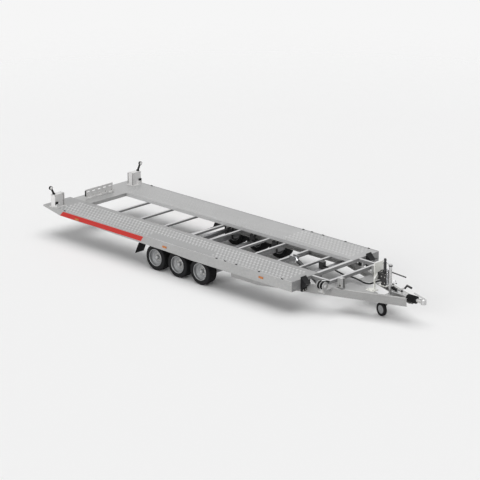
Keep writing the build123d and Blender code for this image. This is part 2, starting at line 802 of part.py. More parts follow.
with BuildPart() as axle_brackets:
    bracket_top = rail_top - axle_bracket_drop
    tube_bottom = axle_tube_height - axle_tube / 2
    plate_y = axle_bracket_inner + axle_bracket_sheet / 2
    tab_width = rail_inner - axle_bracket_inner
    for sign in (1, -1):
        for axle_x in axle_xs:
            tube_x = axle_x + axle_tube_lead
            with BuildSketch(upright(sign * plate_y)):
                with Locations((tube_x, (tube_bottom + bracket_top) / 2)):
                    Rectangle(axle_bracket_width, bracket_top - tube_bottom)
                with Locations((tube_x, axle_tube_height)):
                    RectangleRounded(axle_tube, axle_tube, axle_tube_corner, mode=Mode.SUBTRACT)
            extrude(amount=axle_bracket_sheet / 2, both=True)
            with BuildSketch(Plane.XY.offset(bracket_top - axle_bracket_sheet / 2)):
                with Locations((tube_x, sign * (axle_bracket_inner + tab_width / 2))):
                    Rectangle(axle_bracket_width, tab_width)
            extrude(amount=axle_bracket_sheet / 2)
keep(axle_brackets, "axle_brackets")

with BuildPart() as mudguards:
    guard_z = tyre_diameter + moving_gap
    guard_lip = axle_xs[0] + wheel_radius + mudguard_front_reach
    guard_front = axle_xs[0] + wheel_radius + mudguard_bend_reach
    guard_back = axle_xs[-1] - wheel_radius - 3 * moving_gap
    for sign in (1, -1):
        with BuildSketch(upright(sign * (tyre_middle - moving_gap))):
            with BuildLine():
                Polyline(
                    (guard_lip, guard_z - mudguard_lip_drop),
                    (guard_front, guard_z),
                    (guard_back, guard_z),
                    (guard_back - mudguard_knee[0], guard_z - mudguard_knee[1]),
                    (guard_back - mudguard_flap[0], guard_z - mudguard_flap[1]),
                    (guard_back - mudguard_flap[0] - mudguard_sheet, guard_z - mudguard_flap[1]),
                    (guard_back - mudguard_knee[0], guard_z - mudguard_knee[1] + mudguard_sheet),
                    (guard_back, guard_z + mudguard_sheet),
                    (guard_front, guard_z + mudguard_sheet),
                    (guard_lip, guard_z - mudguard_lip_drop + mudguard_sheet),
                    close=True,
                )
            make_face()
        extrude(amount=tyre_width / 2 + moving_gap, both=True)
keep(mudguards, "mudguards")


# ---------------------------------------------------------------- wheels
def turned(x, y, z, points):
    """Plan sketch, at a wheel's middle, of a section given as (radius, distance to the left)."""
    with BuildSketch(Plane.XY) as section:
        with BuildLine():
            Polyline(points, close=True)
        make_face()
    return section.sketch.moved(Location((x, y, z)))


half = tyre_width / 2
bead = rim_diameter / 2
barrel_inner = bead - rim_sheet
shoulders = [
    (bead + sidewall_lip, half),
    (wheel_radius - shoulder_drop, half - sidewall_curve),
    (wheel_radius, half - shoulder_width),
]
bore_radius = stub_radius + bearing_clearance
disc_in = rim_disc_reach - rim_dish_depth
ridge_out = rim_disc_reach + rim_ridge
cap_end = rim_disc_reach + hub_cap_length
rim_section = [
    (bead, half - bead_inset),
    (barrel_inner, half - bead_inset),
    (barrel_inner, ridge_out),
    (barrel_inner - rim_fillet_run, rim_disc_reach),
    (barrel_inner - rim_ridge_run, ridge_out),
    (barrel_inner - rim_flat_run, rim_disc_reach),
    (barrel_inner - rim_dish_run, disc_in),
    (hub_cap_radius, disc_in),
    (hub_cap_radius, cap_end - hub_cap_bevel),
    (hub_cap_radius - hub_cap_bevel, cap_end),
    (0, cap_end),
    (0, stub_end + moving_gap),
    (bore_radius, stub_end + moving_gap),
    (bore_radius, -drum_depth),
    (hub_radius, -drum_depth),
    (hub_radius, 0),
    (drum_radius - drum_wall, 0),
    (drum_radius - drum_wall, -drum_depth),
    (drum_radius, -drum_depth),
    (drum_radius, drum_wall),
    (barrel_inner - rim_dish_run, disc_in - rim_disc_sheet),
    (barrel_inner - rim_flat_run, rim_disc_reach - rim_disc_sheet),
    (barrel_inner - rim_ridge_run, ridge_out - rim_disc_sheet),
    (barrel_inner, rim_disc_reach - rim_disc_sheet),
    (barrel_inner, -half + bead_inset),
    (bead, -half + bead_inset),
]
stations = [(radius, -y) for radius, y in shoulders] + shoulders[::-1]


def tyre_ring(y, radius, sides):
    """Many-sided outline of a tyre at that distance from its middle, a flat side down."""
    with BuildSketch(upright(y)) as outline:
        RegularPolygon(radius, sides, major_radius=False, rotation=180 / sides)
    return outline.sketch


with BuildPart() as plain_tyre:
    for (radius, y), (next_radius, next_y) in zip(stations, stations[1:]):
        loft([tyre_ring(y, radius, tyre_sides), tyre_ring(next_y, next_radius, tyre_sides)], ruled=True)
    for y in (-half, half):
        seat_y = math.copysign(half - bead_inset, y)
        lip = tyre_ring(y, bead + sidewall_lip, tyre_sides)
        seat = tyre_ring(seat_y, bead, tyre_sides)
        loft([lip, seat], ruled=True, mode=Mode.SUBTRACT)
    with BuildSketch(upright(0)):
        RegularPolygon(bead, tyre_sides, major_radius=False, rotation=180 / tyre_sides)
    extrude(amount=half, both=True, mode=Mode.SUBTRACT)

for name, axle_x in zip(axle_names, axle_xs):
    for side, sign in SIDES:
        wheel_y = sign * tyre_middle
        with BuildPart() as tyre:
            add(plain_tyre.part.moved(Location((axle_x, wheel_y, wheel_radius))))
        keep(tyre, f"tyre_{side}_{name}")

        with BuildPart() as rim:
            add(turned(axle_x, wheel_y, wheel_radius, [(r, sign * y) for r, y in rim_section]))
            revolve(axis=Axis((axle_x, wheel_y, wheel_radius), (0, 1, 0)))
        keep(rim, f"rim_{side}_{name}")

# ---------------------------------------------------------------- tilt cylinder
barrel_start = cylinder_eye_radius - 4
barrel_length = cylinder_length - cylinder_eye_radius - rod_showing - barrel_start


def across_cylinder(distance):
    """Plane square to the cylinder, that far from its foot."""
    return Plane(origin=foot + along * distance, x_dir=(0, 1, 0), z_dir=along)


with BuildPart() as cylinder_barrel:
    with BuildSketch(across_cylinder(barrel_start)):
        Circle(barrel_radius)
    extrude(amount=barrel_length)
    with BuildSketch(upright(0)):
        with Locations((foot.X, foot.Z)):
            Circle(cylinder_eye_radius)
    extrude(amount=cylinder_eye_width / 2, both=True)
    with BuildSketch(upright(0)):
        with Locations((foot.X, foot.Z)):
            Circle(cylinder_pin_radius + bearing_clearance)
    extrude(amount=cylinder_eye_width, both=True, mode=Mode.SUBTRACT)
    with BuildSketch(across_cylinder(cylinder_bore_start)):
        Circle(rod_radius + bearing_clearance)
    extrude(amount=cylinder_length, mode=Mode.SUBTRACT)
keep(cylinder_barrel, "cylinder_barrel")

rod_eye_bore = cylinder_pin_radius + rod_eye_gap
with BuildPart() as cylinder_rod:
    with BuildSketch(across_cylinder(cylinder_bore_start + moving_gap)):
        Circle(rod_radius)
    rod_end = cylinder_length - (cylinder_eye_radius + rod_eye_bore) / 2
    extrude(amount=rod_end - cylinder_bore_start - moving_gap)
    with BuildSketch(upright(0)):
        with Locations((eye.X, eye.Z)):
            Circle(cylinder_eye_radius)
    extrude(amount=cylinder_eye_width / 2, both=True)
    with BuildSketch(upright(0)):
        with Locations((eye.X, eye.Z)):
            Circle(rod_eye_bore)
    extrude(amount=cylinder_eye_width, both=True, mode=Mode.SUBTRACT)
keep(cylinder_rod, "cylinder_rod")

# ---------------------------------------------------------------- coupling
with BuildPart() as overrun_housing:
    with BuildSketch(facing_front(housing_rear)):
        with Locations((0, coupler_height)):
            RectangleRounded(2 * housing_half, 2 * housing_half, housing_corner)
    extrude(amount=housing_front - housing_rear)
    with BuildSketch(facing_front(housing_front)):
        with Locations((0, coupler_height)):
            Circle(ball_radius)
    extrude(amount=-(housing_front - housing_rear - 20), mode=Mode.SUBTRACT)
keep(overrun_housing, "overrun_housing")

gaiter_seat = bed_front + gaiter_end - gaiter_fold_pitch + 2
with BuildPart() as coupler_head:
    with BuildSketch(Plane.XY.offset(coupler_height - coupler_skirt)):
        with Locations((head_x, 0)):
            Circle(coupler_head_radius)
    extrude(amount=coupler_skirt + coupler_cap)
    fillet(coupler_head.faces().sort_by(Axis.Z)[-1].edges(), 16)
    with BuildSketch(facing_front(housing_front - drawtube_overlap)):
        with Locations((0, coupler_height)):
            Circle(ball_radius - drawtube_gap)
    extrude(amount=head_x - housing_front + drawtube_overlap)
    with BuildSketch(facing_front(gaiter_seat)):
        with Locations((0, coupler_height)):
            Circle(coupler_neck_radius)
    extrude(amount=head_x - gaiter_seat)
    with BuildSketch(Plane.XY.offset(coupler_height - coupler_skirt)):
        with Locations((head_x, 0)):
            Circle(ball_radius)
    extrude(amount=coupler_socket_depth, mode=Mode.SUBTRACT)
    # lift handle that arches back over the gaiter
    handle_z = coupler_height + coupler_cap
    with BuildSketch(Plane.XY.offset(handle_z)):
        with Locations((head_x, 0)):
            Circle(handle_width)
    extrude(amount=handle_width)
    with BuildSketch(upright(0)):
        with BuildLine():
            Polyline(
                (head_x, handle_z + handle_width / 2),
                (head_x - handle_knee[0], handle_z + handle_knee[1]),
                (head_x - handle_end[0], handle_z + handle_end[1]),
            )
        trace(line_width=handle_width)
    extrude(amount=handle_half, both=True)
keep(coupler_head, "coupler_head")

with BuildPart() as gaiter:
    folds = round((gaiter_seat - housing_front) / gaiter_fold_pitch)
    pitch = (gaiter_seat - housing_front) / folds
    root = coupler_height + gaiter_radius - gaiter_fold_depth
    crest_line = []
    for n in range(folds):
        crest_line += [
            (housing_front + n * pitch, root),
            (housing_front + (n + 0.5) * pitch, root + gaiter_fold_depth),
        ]
    with BuildSketch(upright(0)):
        with BuildLine():
            Polyline(
                crest_line
                + [
                    (gaiter_seat, root),
                    (gaiter_seat, coupler_height + ball_radius + 1),
                    (housing_front, coupler_height + ball_radius + 1),
                ],
                close=True,
            )
        make_face()
    revolve(axis=Axis((0, 0, coupler_height), (1, 0, 0)))
keep(gaiter, "gaiter")

with BuildPart() as handbrake_lever:
    lever_x = jockey_x + handbrake_lead
    lever_z = coupler_height + housing_half
    elbow = (lever_x + lever_elbow[0], lever_z + lever_elbow[1])
    with BuildSketch(upright(0)):
        with BuildLine():
            Polyline((lever_x, lever_z + handbrake_width / 2), elbow)
        trace(line_width=handbrake_width)
        with Locations((lever_x, lever_z + handbrake_width)):
            Rectangle(lever_foot_length, 2 * handbrake_width)
    extrude(amount=handbrake_half, both=True)
    with BuildSketch(upright(0)):
        with BuildLine():
            Polyline(
                elbow,
                (lever_x + grip_knee[0], lever_z + grip_knee[1]),
                (lever_x + grip_end[0], lever_z + grip_end[1]),
            )
        trace(line_width=grip_width)
    extrude(amount=grip_half, both=True)
keep(handbrake_lever, "handbrake_lever")

# ---------------------------------------------------------------- jockey wheel
jockey_stem_radius = jockey_tube_radius - jockey_tube_wall - 0.5
turn = math.radians(jockey_turn)
jockey_ahead = Vector(math.cos(turn), math.sin(turn), 0)
jockey_left = Vector(-math.sin(turn), math.cos(turn), 0)
fork_plate_bottom = 2 * jockey_wheel_radius + moving_gap
fork_plate_top = fork_plate_bottom + fork_plate
jockey_tube_bottom = fork_plate_top + jockey_lift + moving_gap



def beside_jockey(y):
    """Plane along the turned jockey wheel: sketch x runs ahead of the post, sketch y is +Z."""
    return Plane(origin=Vector(jockey_x, 0, 0) + jockey_left * y, x_dir=jockey_ahead, z_dir=-jockey_left)


with BuildPart() as jockey_tube:
    with BuildSketch(Plane.XY.offset(jockey_tube_bottom)):
        with Locations((jockey_x, 0)):
            Circle(jockey_tube_radius)
            Circle(jockey_tube_radius - jockey_tube_wall, mode=Mode.SUBTRACT)
    extrude(amount=jockey_top - jockey_tube_bottom)
    with BuildSketch(Plane.XY.offset(jockey_top)):
        with Locations((jockey_x, 0)):
            Circle(jockey_tube_radius + jockey_cap_lip)
    extrude(amount=jockey_cap_height)
keep(jockey_tube, "jockey_tube")

with BuildPart() as jockey_clamp:
    clamp_half = jockey_clamp_length / 2
    rear_half = beam_inner_at(jockey_reach - clamp_half)
    front_half = beam_inner_at(jockey_reach + clamp_half)
    with BuildSketch(Plane.XY.offset(rail_bottom + jockey_clamp_rise)):
        with BuildLine():
            Polyline(
                (jockey_x - clamp_half, rear_half),
                (jockey_x + clamp_half, front_half),
                (jockey_x + clamp_half, -front_half),
                (jockey_x - clamp_half, -rear_half),
                close=True,
            )
        make_face()
        with Locations((jockey_x, 0)):
            Circle(jockey_tube_radius, mode=Mode.SUBTRACT)
    extrude(amount=jockey_clamp_height)
keep(jockey_clamp, "jockey_clamp")

with BuildPart() as jockey_stem:
    with BuildSketch(Plane.XY.offset(fork_plate_top + 1)):
        with Locations((jockey_x, 0)):
            Circle(jockey_stem_radius)
    extrude(amount=jockey_stem_length)
keep(jockey_stem, "jockey_stem")

with BuildPart() as jockey_fork:
    arm_middle = -jockey_offset + jockey_wheel_width / 2 + moving_gap + fork_arm_sheet / 2
    fork_plane = Plane(origin=(jockey_x, 0, fork_plate_bottom), x_dir=jockey_ahead, z_dir=(0, 0, 1))
    with BuildSketch(fork_plane):
        with BuildLine():
            Polyline(
                (-2 * fork_leg_half, arm_middle - fork_arm_sheet / 2),
                (jockey_tube_radius, arm_middle - fork_arm_sheet / 2),
                (jockey_tube_radius, jockey_tube_radius),
                (-2 * fork_leg_half, jockey_tube_radius),
                close=True,
            )
        make_face()
    extrude(amount=fork_plate)
    # one arm beside the wheel, from the plate down to the wheel's axle
    with BuildSketch(beside_jockey(arm_middle)):
        with BuildLine():
            Polyline(
                (-jockey_trail - fork_leg_half, jockey_wheel_radius - fork_leg_half),
                (-jockey_trail + fork_leg_half, jockey_wheel_radius - fork_leg_half),
                (jockey_tube_radius, fork_plate_bottom),
                (-2 * fork_leg_half, fork_plate_bottom),
                (-jockey_trail - fork_leg_half, jockey_wheel_radius + fork_leg_half),
                close=True,
            )
        make_face()
    extrude(amount=fork_arm_sheet / 2, both=True)
    axle_half = (jockey_wheel_width + fork_arm_sheet) / 2 + moving_gap
    with BuildSketch(beside_jockey(arm_middle - axle_half)):
        with Locations((-jockey_trail, jockey_wheel_radius)):
            Circle(jockey_axle_radius)
    extrude(amount=axle_half, both=True)
keep(jockey_fork, "jockey_fork")

with BuildPart() as jockey_rim:
    with BuildSketch(beside_jockey(-jockey_offset)):
        with Locations((-jockey_trail, jockey_wheel_radius)):
            Circle(jockey_rim_radius)
            Circle(jockey_axle_radius + bearing_clearance, mode=Mode.SUBTRACT)
    extrude(amount=jockey_wheel_width / 2 - jockey_rim_inset, both=True)
keep(jockey_rim, "jockey_rim")

with BuildPart() as jockey_tyre:
    with BuildSketch(beside_jockey(-jockey_offset)):
        with Locations((-jockey_trail, jockey_wheel_radius)):
            RegularPolygon(jockey_wheel_radius, jockey_sides, major_radius=False, rotation=180 / jockey_sides)
            Circle(jockey_rim_radius, mode=Mode.SUBTRACT)
    extrude(amount=jockey_wheel_width / 2, both=True)
keep(jockey_tyre, "jockey_tyre")

# ---------------------------------------------------------------- pump and tower
pump_x = jockey_x - pump_behind_jockey
tower_x = pump_x - tower_behind_pump
tower_base = rail_top + gusset_sheet
with BuildPart() as pump_tower:
    with BuildSketch(facing_front(tower_x)):
        with Locations((0, tower_base + tower_height / 2)):
            Rectangle(2 * tower_half, tower_height)
        with Locations((0, tower_base + tower_window_height / 2)):
            Rectangle(2 * (tower_half - tower_leg), tower_window_height, mode=Mode.SUBTRACT)
    extrude(amount=tower_sheet)
    foot_y = tower_half + tower_foot_width / 2 - tower_leg / 2
    with BuildSketch(Plane.XY.offset(tower_base)):
        with Locations(*[(tower_x + tower_sheet / 2, sign * foot_y) for sign in (1, -1)]):
            Rectangle(tower_foot_length, tower_foot_width)
    extrude(amount=tower_foot_sheet)
keep(pump_tower, "pump_tower")

with BuildPart() as hand_pump:
    tower_front = tower_x + tower_sheet
    body_bottom = tower_base + pump_body_rise
    body_top = body_bottom + pump_body_height
    with BuildSketch(Plane.XY.offset(body_bottom)):
        with Locations((pump_x, 0)):
            RectangleRounded(pump_body_length, pump_body_width, pump_body_corner)
    extrude(amount=pump_body_height)
    with BuildSketch(Plane.XY.offset(body_top)):
        with Locations((pump_x, 0)):
            Circle(pump_valve_radius)
    extrude(amount=pump_valve_height)
    with BuildSketch(Plane.XY.offset(body_top + pump_valve_height)):
        with Locations((pump_x, 0)):
            Circle(pump_knob_radius)
    extrude(amount=pump_knob_height)
    with BuildSketch(facing_front(tower_front)):
        with Locations((0, body_top - pump_mount_height / 2)):
            Rectangle(pump_mount_width, pump_mount_height)
    extrude(amount=pump_x - pump_body_length / 2 - tower_front)
    # pump lever, which reaches forward past the jockey post
    lever_y = jockey_tube_radius + jockey_cap_lip + pump_lever_gap + pump_lever_radius
    lever_root_z = body_top + pump_lever_rise
    with BuildSketch(Plane.XY.offset(lever_root_z - 2 * pump_lever_radius)):
        with Locations((pump_x, (lever_y + pump_lever_radius) / 2)):
            Rectangle(4 * pump_lever_radius, lever_y + pump_lever_radius)
    extrude(amount=3 * pump_lever_radius)
    droop = math.radians(pump_lever_droop)
    lever_dir = (math.cos(droop), 0, -math.sin(droop))
    with BuildSketch(Plane(origin=(pump_x, lever_y, lever_root_z), x_dir=(0, 1, 0), z_dir=lever_dir)):
        Circle(pump_lever_radius)
    extrude(amount=pump_lever_length)
    port_angle = math.radians(port_droop)
    port_dir = Vector(-math.cos(port_angle), 0, -math.sin(port_angle))
    port_root = Vector(pump_x - pump_body_length / 2, 0, body_bottom + port_rise)
    with BuildSketch(Plane(origin=port_root - port_dir * port_radius, x_dir=(0, 1, 0), z_dir=port_dir)):
        Circle(port_radius)
    extrude(amount=port_length + port_radius)
keep(hand_pump, "hand_pump")

# Oil hose from the back of the pump, through the tower's window and along the tongue to the valve
# block. Its straight runs are joined by arcs as large as the runs allow.
valve_front = foot_member_x + valve_side / 2
hose_points = [
    tuple(port_root + port_dir * port_length),
    tuple(port_root + port_dir * (port_length + 72)),
    (bed_front + 800, 0, 478),
    (bed_front + 710, 0, 434),
    (bed_front + 600, 0, 426),
    (bed_front + 490, 2, 446),
    (bed_front + 380, 6, 460),
    (bed_front + 260, 18, 452),
    (bed_front + 130, 40, 440),
    (bed_front, 66, 446),
    (bed_front - 120, 88, 458),
    (bed_front - 230, valve_offset, 460),
    (valve_front, valve_offset, 460),
]


def run_radii(points):
    """The largest arc that two neighbouring runs leave room for, at each inner point."""
    radii = []
    for before, at, after in zip(points, points[1:], points[2:]):
        first = Vector(*at) - Vector(*before)
        second = Vector(*after) - Vector(*at)
        turn = math.radians(first.get_angle(second))
        radii.append(0.45 * min(first.length, second.length) / math.tan(turn / 2))
    return radii


hose_radii = run_radii(hose_points)
print("pump_hose radii", [round(r) for r in hose_radii])
with BuildPart() as pump_hose:
    with BuildLine():
        hose_path = FilletPolyline(*hose_points, radius=hose_radii)
    with BuildSketch(Plane(origin=hose_path @ 0, z_dir=hose_path % 0)):
        Circle(hose_radius)
    sweep(path=hose_path)
print("pump_hose length", round(hose_path.length), "volume ratio",
      round(pump_hose.part.volume / (math.pi * hose_radius**2 * hose_path.length), 4))
keep(pump_hose, "pump_hose")

# ---------------------------------------------------------------- gear on the drawbar beams
with BuildPart() as beam_drum:
    # a drum with three flanges and two wound coils, on a foot fixed to the right beam's outer side
    drum_rear = drum_reach - drum_length / 2
    drum_front = drum_reach + drum_length / 2
    drum_y = -beam_outer_at(drum_reach) - drum_overhang
    drum_z = rail_top + drum_height
    with BuildSketch(facing_front(bed_front + drum_rear)):
        with Locations((drum_y, drum_z)):
            Circle(drum_coil_radius)
        with Locations((drum_y, (rail_top + drum_z) / 2)):
            Rectangle(drum_web, drum_height)
    extrude(amount=drum_length)
    for n in range(3):
        with BuildSketch(facing_front(bed_front + drum_rear + n * (drum_length - drum_flange) / 2)):
            with Locations((drum_y, drum_z)):
                Circle(drum_flange_radius)
        extrude(amount=drum_flange)
    with BuildSketch(Plane.XY.offset(rail_top - drum_foot_depth)):
        with BuildLine():
            Polyline(
                (bed_front + drum_rear, -beam_outer_at(drum_rear)),
                (bed_front + drum_front, -beam_outer_at(drum_front)),
                (bed_front + drum_front, drum_y - drum_web / 2),
                (bed_front + drum_rear, drum_y - drum_web / 2),
                close=True,
            )
        make_face()
    extrude(amount=drum_foot_depth)
keep(beam_drum, "beam_drum")

with BuildPart() as nose_catches:
    catch_base = rail_top + gusset_sheet
    catch_x = bed_front + catch_reach
    for sign in (1, -1):
        catch_y = sign * beam_inner_at(catch_reach)
        plate_offset = (catch_width - catch_sheet) / 2
        for shift in (-plate_offset, plate_offset):
            with BuildSketch(upright(catch_y + shift)):
                with Locations((catch_x, catch_base + catch_height / 2)):
                    RectangleRounded(catch_length, catch_height, catch_sheet)
                with Locations((catch_x, catch_base + catch_hole_rise)):
                    Circle(catch_hole_radius, mode=Mode.SUBTRACT)
            extrude(amount=catch_sheet / 2, both=True)
        with BuildSketch(Plane.XY.offset(catch_base)):
            with Locations((catch_x, catch_y)):
                Rectangle(catch_length - 2 * catch_sheet, catch_width - catch_sheet)
        extrude(amount=catch_sheet)
keep(nose_catches, "nose_catches")
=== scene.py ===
import bmesh
import bpy
import math
from mathutils import Matrix, Vector


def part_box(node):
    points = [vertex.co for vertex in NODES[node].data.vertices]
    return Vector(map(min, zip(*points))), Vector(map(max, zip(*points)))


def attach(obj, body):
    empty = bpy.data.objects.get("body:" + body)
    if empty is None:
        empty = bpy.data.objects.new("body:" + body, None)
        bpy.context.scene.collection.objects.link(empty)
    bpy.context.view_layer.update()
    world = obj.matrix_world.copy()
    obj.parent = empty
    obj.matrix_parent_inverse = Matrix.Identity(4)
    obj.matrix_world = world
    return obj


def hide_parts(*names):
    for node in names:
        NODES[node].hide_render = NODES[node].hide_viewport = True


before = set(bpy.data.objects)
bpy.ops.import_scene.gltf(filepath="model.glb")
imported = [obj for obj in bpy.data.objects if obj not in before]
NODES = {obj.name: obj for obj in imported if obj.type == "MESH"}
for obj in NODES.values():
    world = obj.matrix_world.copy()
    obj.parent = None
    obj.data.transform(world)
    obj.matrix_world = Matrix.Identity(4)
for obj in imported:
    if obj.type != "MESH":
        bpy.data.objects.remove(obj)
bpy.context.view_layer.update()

SIDES = (("left", 1), ("right", -1))
AXLES = ("front", "middle", "rear")
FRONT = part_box("side_panel_left")[1].x  # front edge of the tilting bed
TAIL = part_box("side_panel_left")[0].x  # its rear edge
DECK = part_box("side_panel_left")[1].z  # height of the runways' upper face

CAMERA_AZIMUTH, CAMERA_ELEVATION = 43.7, 18.58  # degrees
CAMERA_DISTANCE = 34.41
CAMERA_AIM = (0.065, 0, 0.4)
LENS, SENSOR = 152.68, 36
LENS_SHIFT = (-0.01504, 0.01835)
CLIP_END = 200


# ------------------------------------------------------------------ camera
def place_camera():
    """A long lens at the trailer's front right corner, a little above it."""
    azimuth, elevation = math.radians(CAMERA_AZIMUTH), math.radians(CAMERA_ELEVATION)
    back = Vector((
        math.sin(azimuth) * math.cos(elevation),
        -math.cos(azimuth) * math.cos(elevation),
        math.sin(elevation),
    ))
    data = bpy.data.cameras.new("camera")
    data.lens, data.sensor_width = LENS, SENSOR
    data.shift_x, data.shift_y = LENS_SHIFT
    data.clip_end = CLIP_END
    camera = bpy.data.objects.new("camera", data)
    camera.location = Vector(CAMERA_AIM) + back * CAMERA_DISTANCE
    camera.rotation_euler = back.to_track_quat("Z", "Y").to_euler()
    bpy.context.scene.collection.objects.link(camera)
    bpy.context.scene.camera = camera
    bpy.context.scene.view_settings.view_transform = "Standard"


place_camera()


# ------------------------------------------------------------------ shader wiring
class Wire:
    """One socket of a finish, so that its shader maths reads as an expression."""

    def __init__(self, finish, socket):
        self.finish, self.socket = finish, socket

    def maths(self, operation, *values):
        return self.finish.node("ShaderNodeMath", {"operation": operation}, dict(enumerate(values)))

    def __add__(self, other):
        return self.maths("ADD", self, other)

    def __radd__(self, other):
        return self.maths("ADD", other, self)

    def __sub__(self, other):
        return self.maths("SUBTRACT", self, other)

    def __rsub__(self, other):
        return self.maths("SUBTRACT", other, self)

    def __mul__(self, other):
        return self.maths("MULTIPLY", self, other)

    def __rmul__(self, other):
        return self.maths("MULTIPLY", other, self)

    def __truediv__(self, other):
        return self.maths("DIVIDE", self, other)

    def __rtruediv__(self, other):
        return self.maths("DIVIDE", other, self)

    def __pow__(self, other):
        return self.maths("POWER", self, other)

    def __gt__(self, other):
        return self.maths("GREATER_THAN", self, other)

    def __lt__(self, other):
        return self.maths("LESS_THAN", self, other)

    def __abs__(self):
        return self.maths("ABSOLUTE", self)

    def ramp(self, low, high):
        """0 below low, 1 above high, smooth between."""
        return self.finish.node(
            "ShaderNodeMapRange",
            {"interpolation_type": "SMOOTHSTEP"},
            {"Value": self, "From Min": low, "From Max": high},
        )


class Finish:
    """A material whose surface is worked out from the piece's own coordinates."""

    def __init__(self, name, **constants):
        self.material = bpy.data.materials.new(name)
        self.material.use_nodes = True
        self.tree = self.material.node_tree
        self.shader = self.tree.nodes["Principled BSDF"]
        for socket, value in constants.items():
            self.shader.inputs[socket.replace("_", " ")].default_value = value
        self.place = self.node("ShaderNodeTexCoord", {}, {}, "Object")

    def node(self, kind, settings, values, output=0):
        """Adds one node: its settings first, then its sockets' values or links."""
        node = self.tree.nodes.new(kind)
        for key, value in settings.items():
            setattr(node, key, value)
        for key, value in values.items():
            if isinstance(value, Wire):
                self.tree.links.new(value.socket, node.inputs[key])
            else:
                node.inputs[key].default_value = value
        return Wire(self, node.outputs[output])

    def noise(self, scale, detail=3.0, rough=0.5, at=None):
        values = {"Vector": at or self.place, "Scale": scale, "Detail": detail, "Roughness": rough}
        return self.node("ShaderNodeTexNoise", {}, values, "Fac")

    def cells(self, scale, output="Color", feature="F1"):
        values = {"Vector": self.place, "Scale": scale}
        return self.node("ShaderNodeTexVoronoi", {"feature": feature}, values, output)

    def axis(self, name):
        return self.node("ShaderNodeSeparateXYZ", {}, {0: self.place}, name)

    def stretched(self, x, y, z):
        values = {"Vector": self.place, "Scale": (x, y, z)}
        return self.node("ShaderNodeMapping", {}, values)

    def blend(self, factor, first, second):
        """A colour between two others, given as (r, g, b) or as wires."""
        values = {0: factor}
        for slot, colour in ((6, first), (7, second)):
            values[slot] = colour if isinstance(colour, Wire) else (*colour, 1)
        return self.node("ShaderNodeMix", {"data_type": "RGBA"}, values, 2)

    def feed(self, socket, wire):
        self.tree.links.new(wire.socket, self.shader.inputs[socket])

    def bump(self, height, strength, distance=0.002):
        values = {"Height": height, "Strength": strength, "Distance": distance}
        self.feed("Normal", self.node("ShaderNodeBump", {}, values))


def zinc(name, light, dark, rough=0.42, spangle=90.0, metal=0.35, side=1.0):
    """Hot-dip zinc: cloudy patches, faint crystal spangle and a fine grain.

    side scales the colour of faces that don't point up against the tops: painted shade below 1, painted
    light above 1.
    """
    finish = Finish(name, Metallic=metal)
    clouds = finish.noise(1.7, 4.0, 0.6)
    streaks = finish.noise(3.0, 3.0, 0.55, finish.stretched(0.5, 2.5, 5.0))
    crystal = finish.node("ShaderNodeSeparateColor", {}, {0: finish.cells(spangle)}, 0)
    grain = finish.noise(420.0, 2.0)
    tone = (clouds * 0.45 + streaks * 0.25 + crystal * 0.22 + grain * 0.08).ramp(0.28, 0.72)
    colour = finish.blend(tone, dark, light)
    # faces that don't point up get painted shade or painted light, scaled by side
    if side != 1.0:
        normal = finish.node("ShaderNodeNewGeometry", {}, {}, "Normal")
        upward = finish.node("ShaderNodeSeparateXYZ", {}, {0: normal}, 2).ramp(0.45, 0.85)
        painted_side_tone = finish.blend(tone, [value * side for value in dark], [value * side for value in light])
        colour = finish.blend(upward, painted_side_tone, colour)
    finish.feed("Base Color", colour)
    finish.feed("Roughness", rough + (clouds - 0.5) * 0.18 + (crystal - 0.5) * 0.1)
    finish.bump(grain * 0.6 + clouds, 0.12)
    return finish.material


def rubber(name, colour, worn, rough=0.72, scale=260.0):
    """Black rubber or plastic: dusty patches and a matt moulded grain."""
    finish = Finish(name, Specular_IOR_Level=0.22)
    dust = finish.noise(9.0, 4.0, 0.6).ramp(0.42, 0.75)
    grain = finish.noise(scale, 2.0)
    finish.feed("Base Color", finish.blend(dust * 0.7 + grain * 0.2, colour, worn))
    finish.feed("Roughness", rough + (grain - 0.5) * 0.15 + dust * 0.08)
    finish.bump(grain, 0.18)
    return finish.material


def paint(name, colour, worn, rough=0.4, coat=0.2, metal=0.0):
    """Sprayed paint with a slight orange peel, worn lighter in patches."""
    finish = Finish(name, Coat_Weight=coat, Coat_Roughness=0.25, Metallic=metal)
    wear = finish.noise(14.0, 5.0, 0.65).ramp(0.55, 0.78)
    peel = finish.noise(160.0, 1.0)
    finish.feed("Base Color", finish.blend(wear * 0.6 + peel * 0.1, colour, worn))
    finish.feed("Roughness", rough + wear * 0.15 + (peel - 0.5) * 0.08)
    finish.bump(peel, 0.08)
    return finish.material


def chrome(name):
    finish = Finish(name, Metallic=1.0)
    wipe = finish.noise(30.0, 3.0, 0.5, finish.stretched(1.0, 8.0, 8.0))
    finish.feed("Base Color", finish.blend(wipe, (0.62, 0.63, 0.65), (0.82, 0.83, 0.85)))
    finish.feed("Roughness", 0.1 + wipe * 0.12)
    return finish.material


def lens(name, colour, deep):
    """A ribbed plastic lens over a reflector."""
    finish = Finish(name, Coat_Weight=0.6, Coat_Roughness=0.08, Specular_IOR_Level=0.6)
    height = finish.axis("Z")
    ribs = abs(finish.node("ShaderNodeMath", {"operation": "FRACT"}, {0: height * 140.0}) - 0.5) * 2.0
    specks = finish.cells(240.0, "Distance")
    finish.feed("Base Color", finish.blend(ribs * 0.55 + specks * 0.3, deep, colour))
    finish.feed("Roughness", 0.16 + specks * 0.2)
    finish.bump(ribs, 0.25, 0.001)
    return finish.material


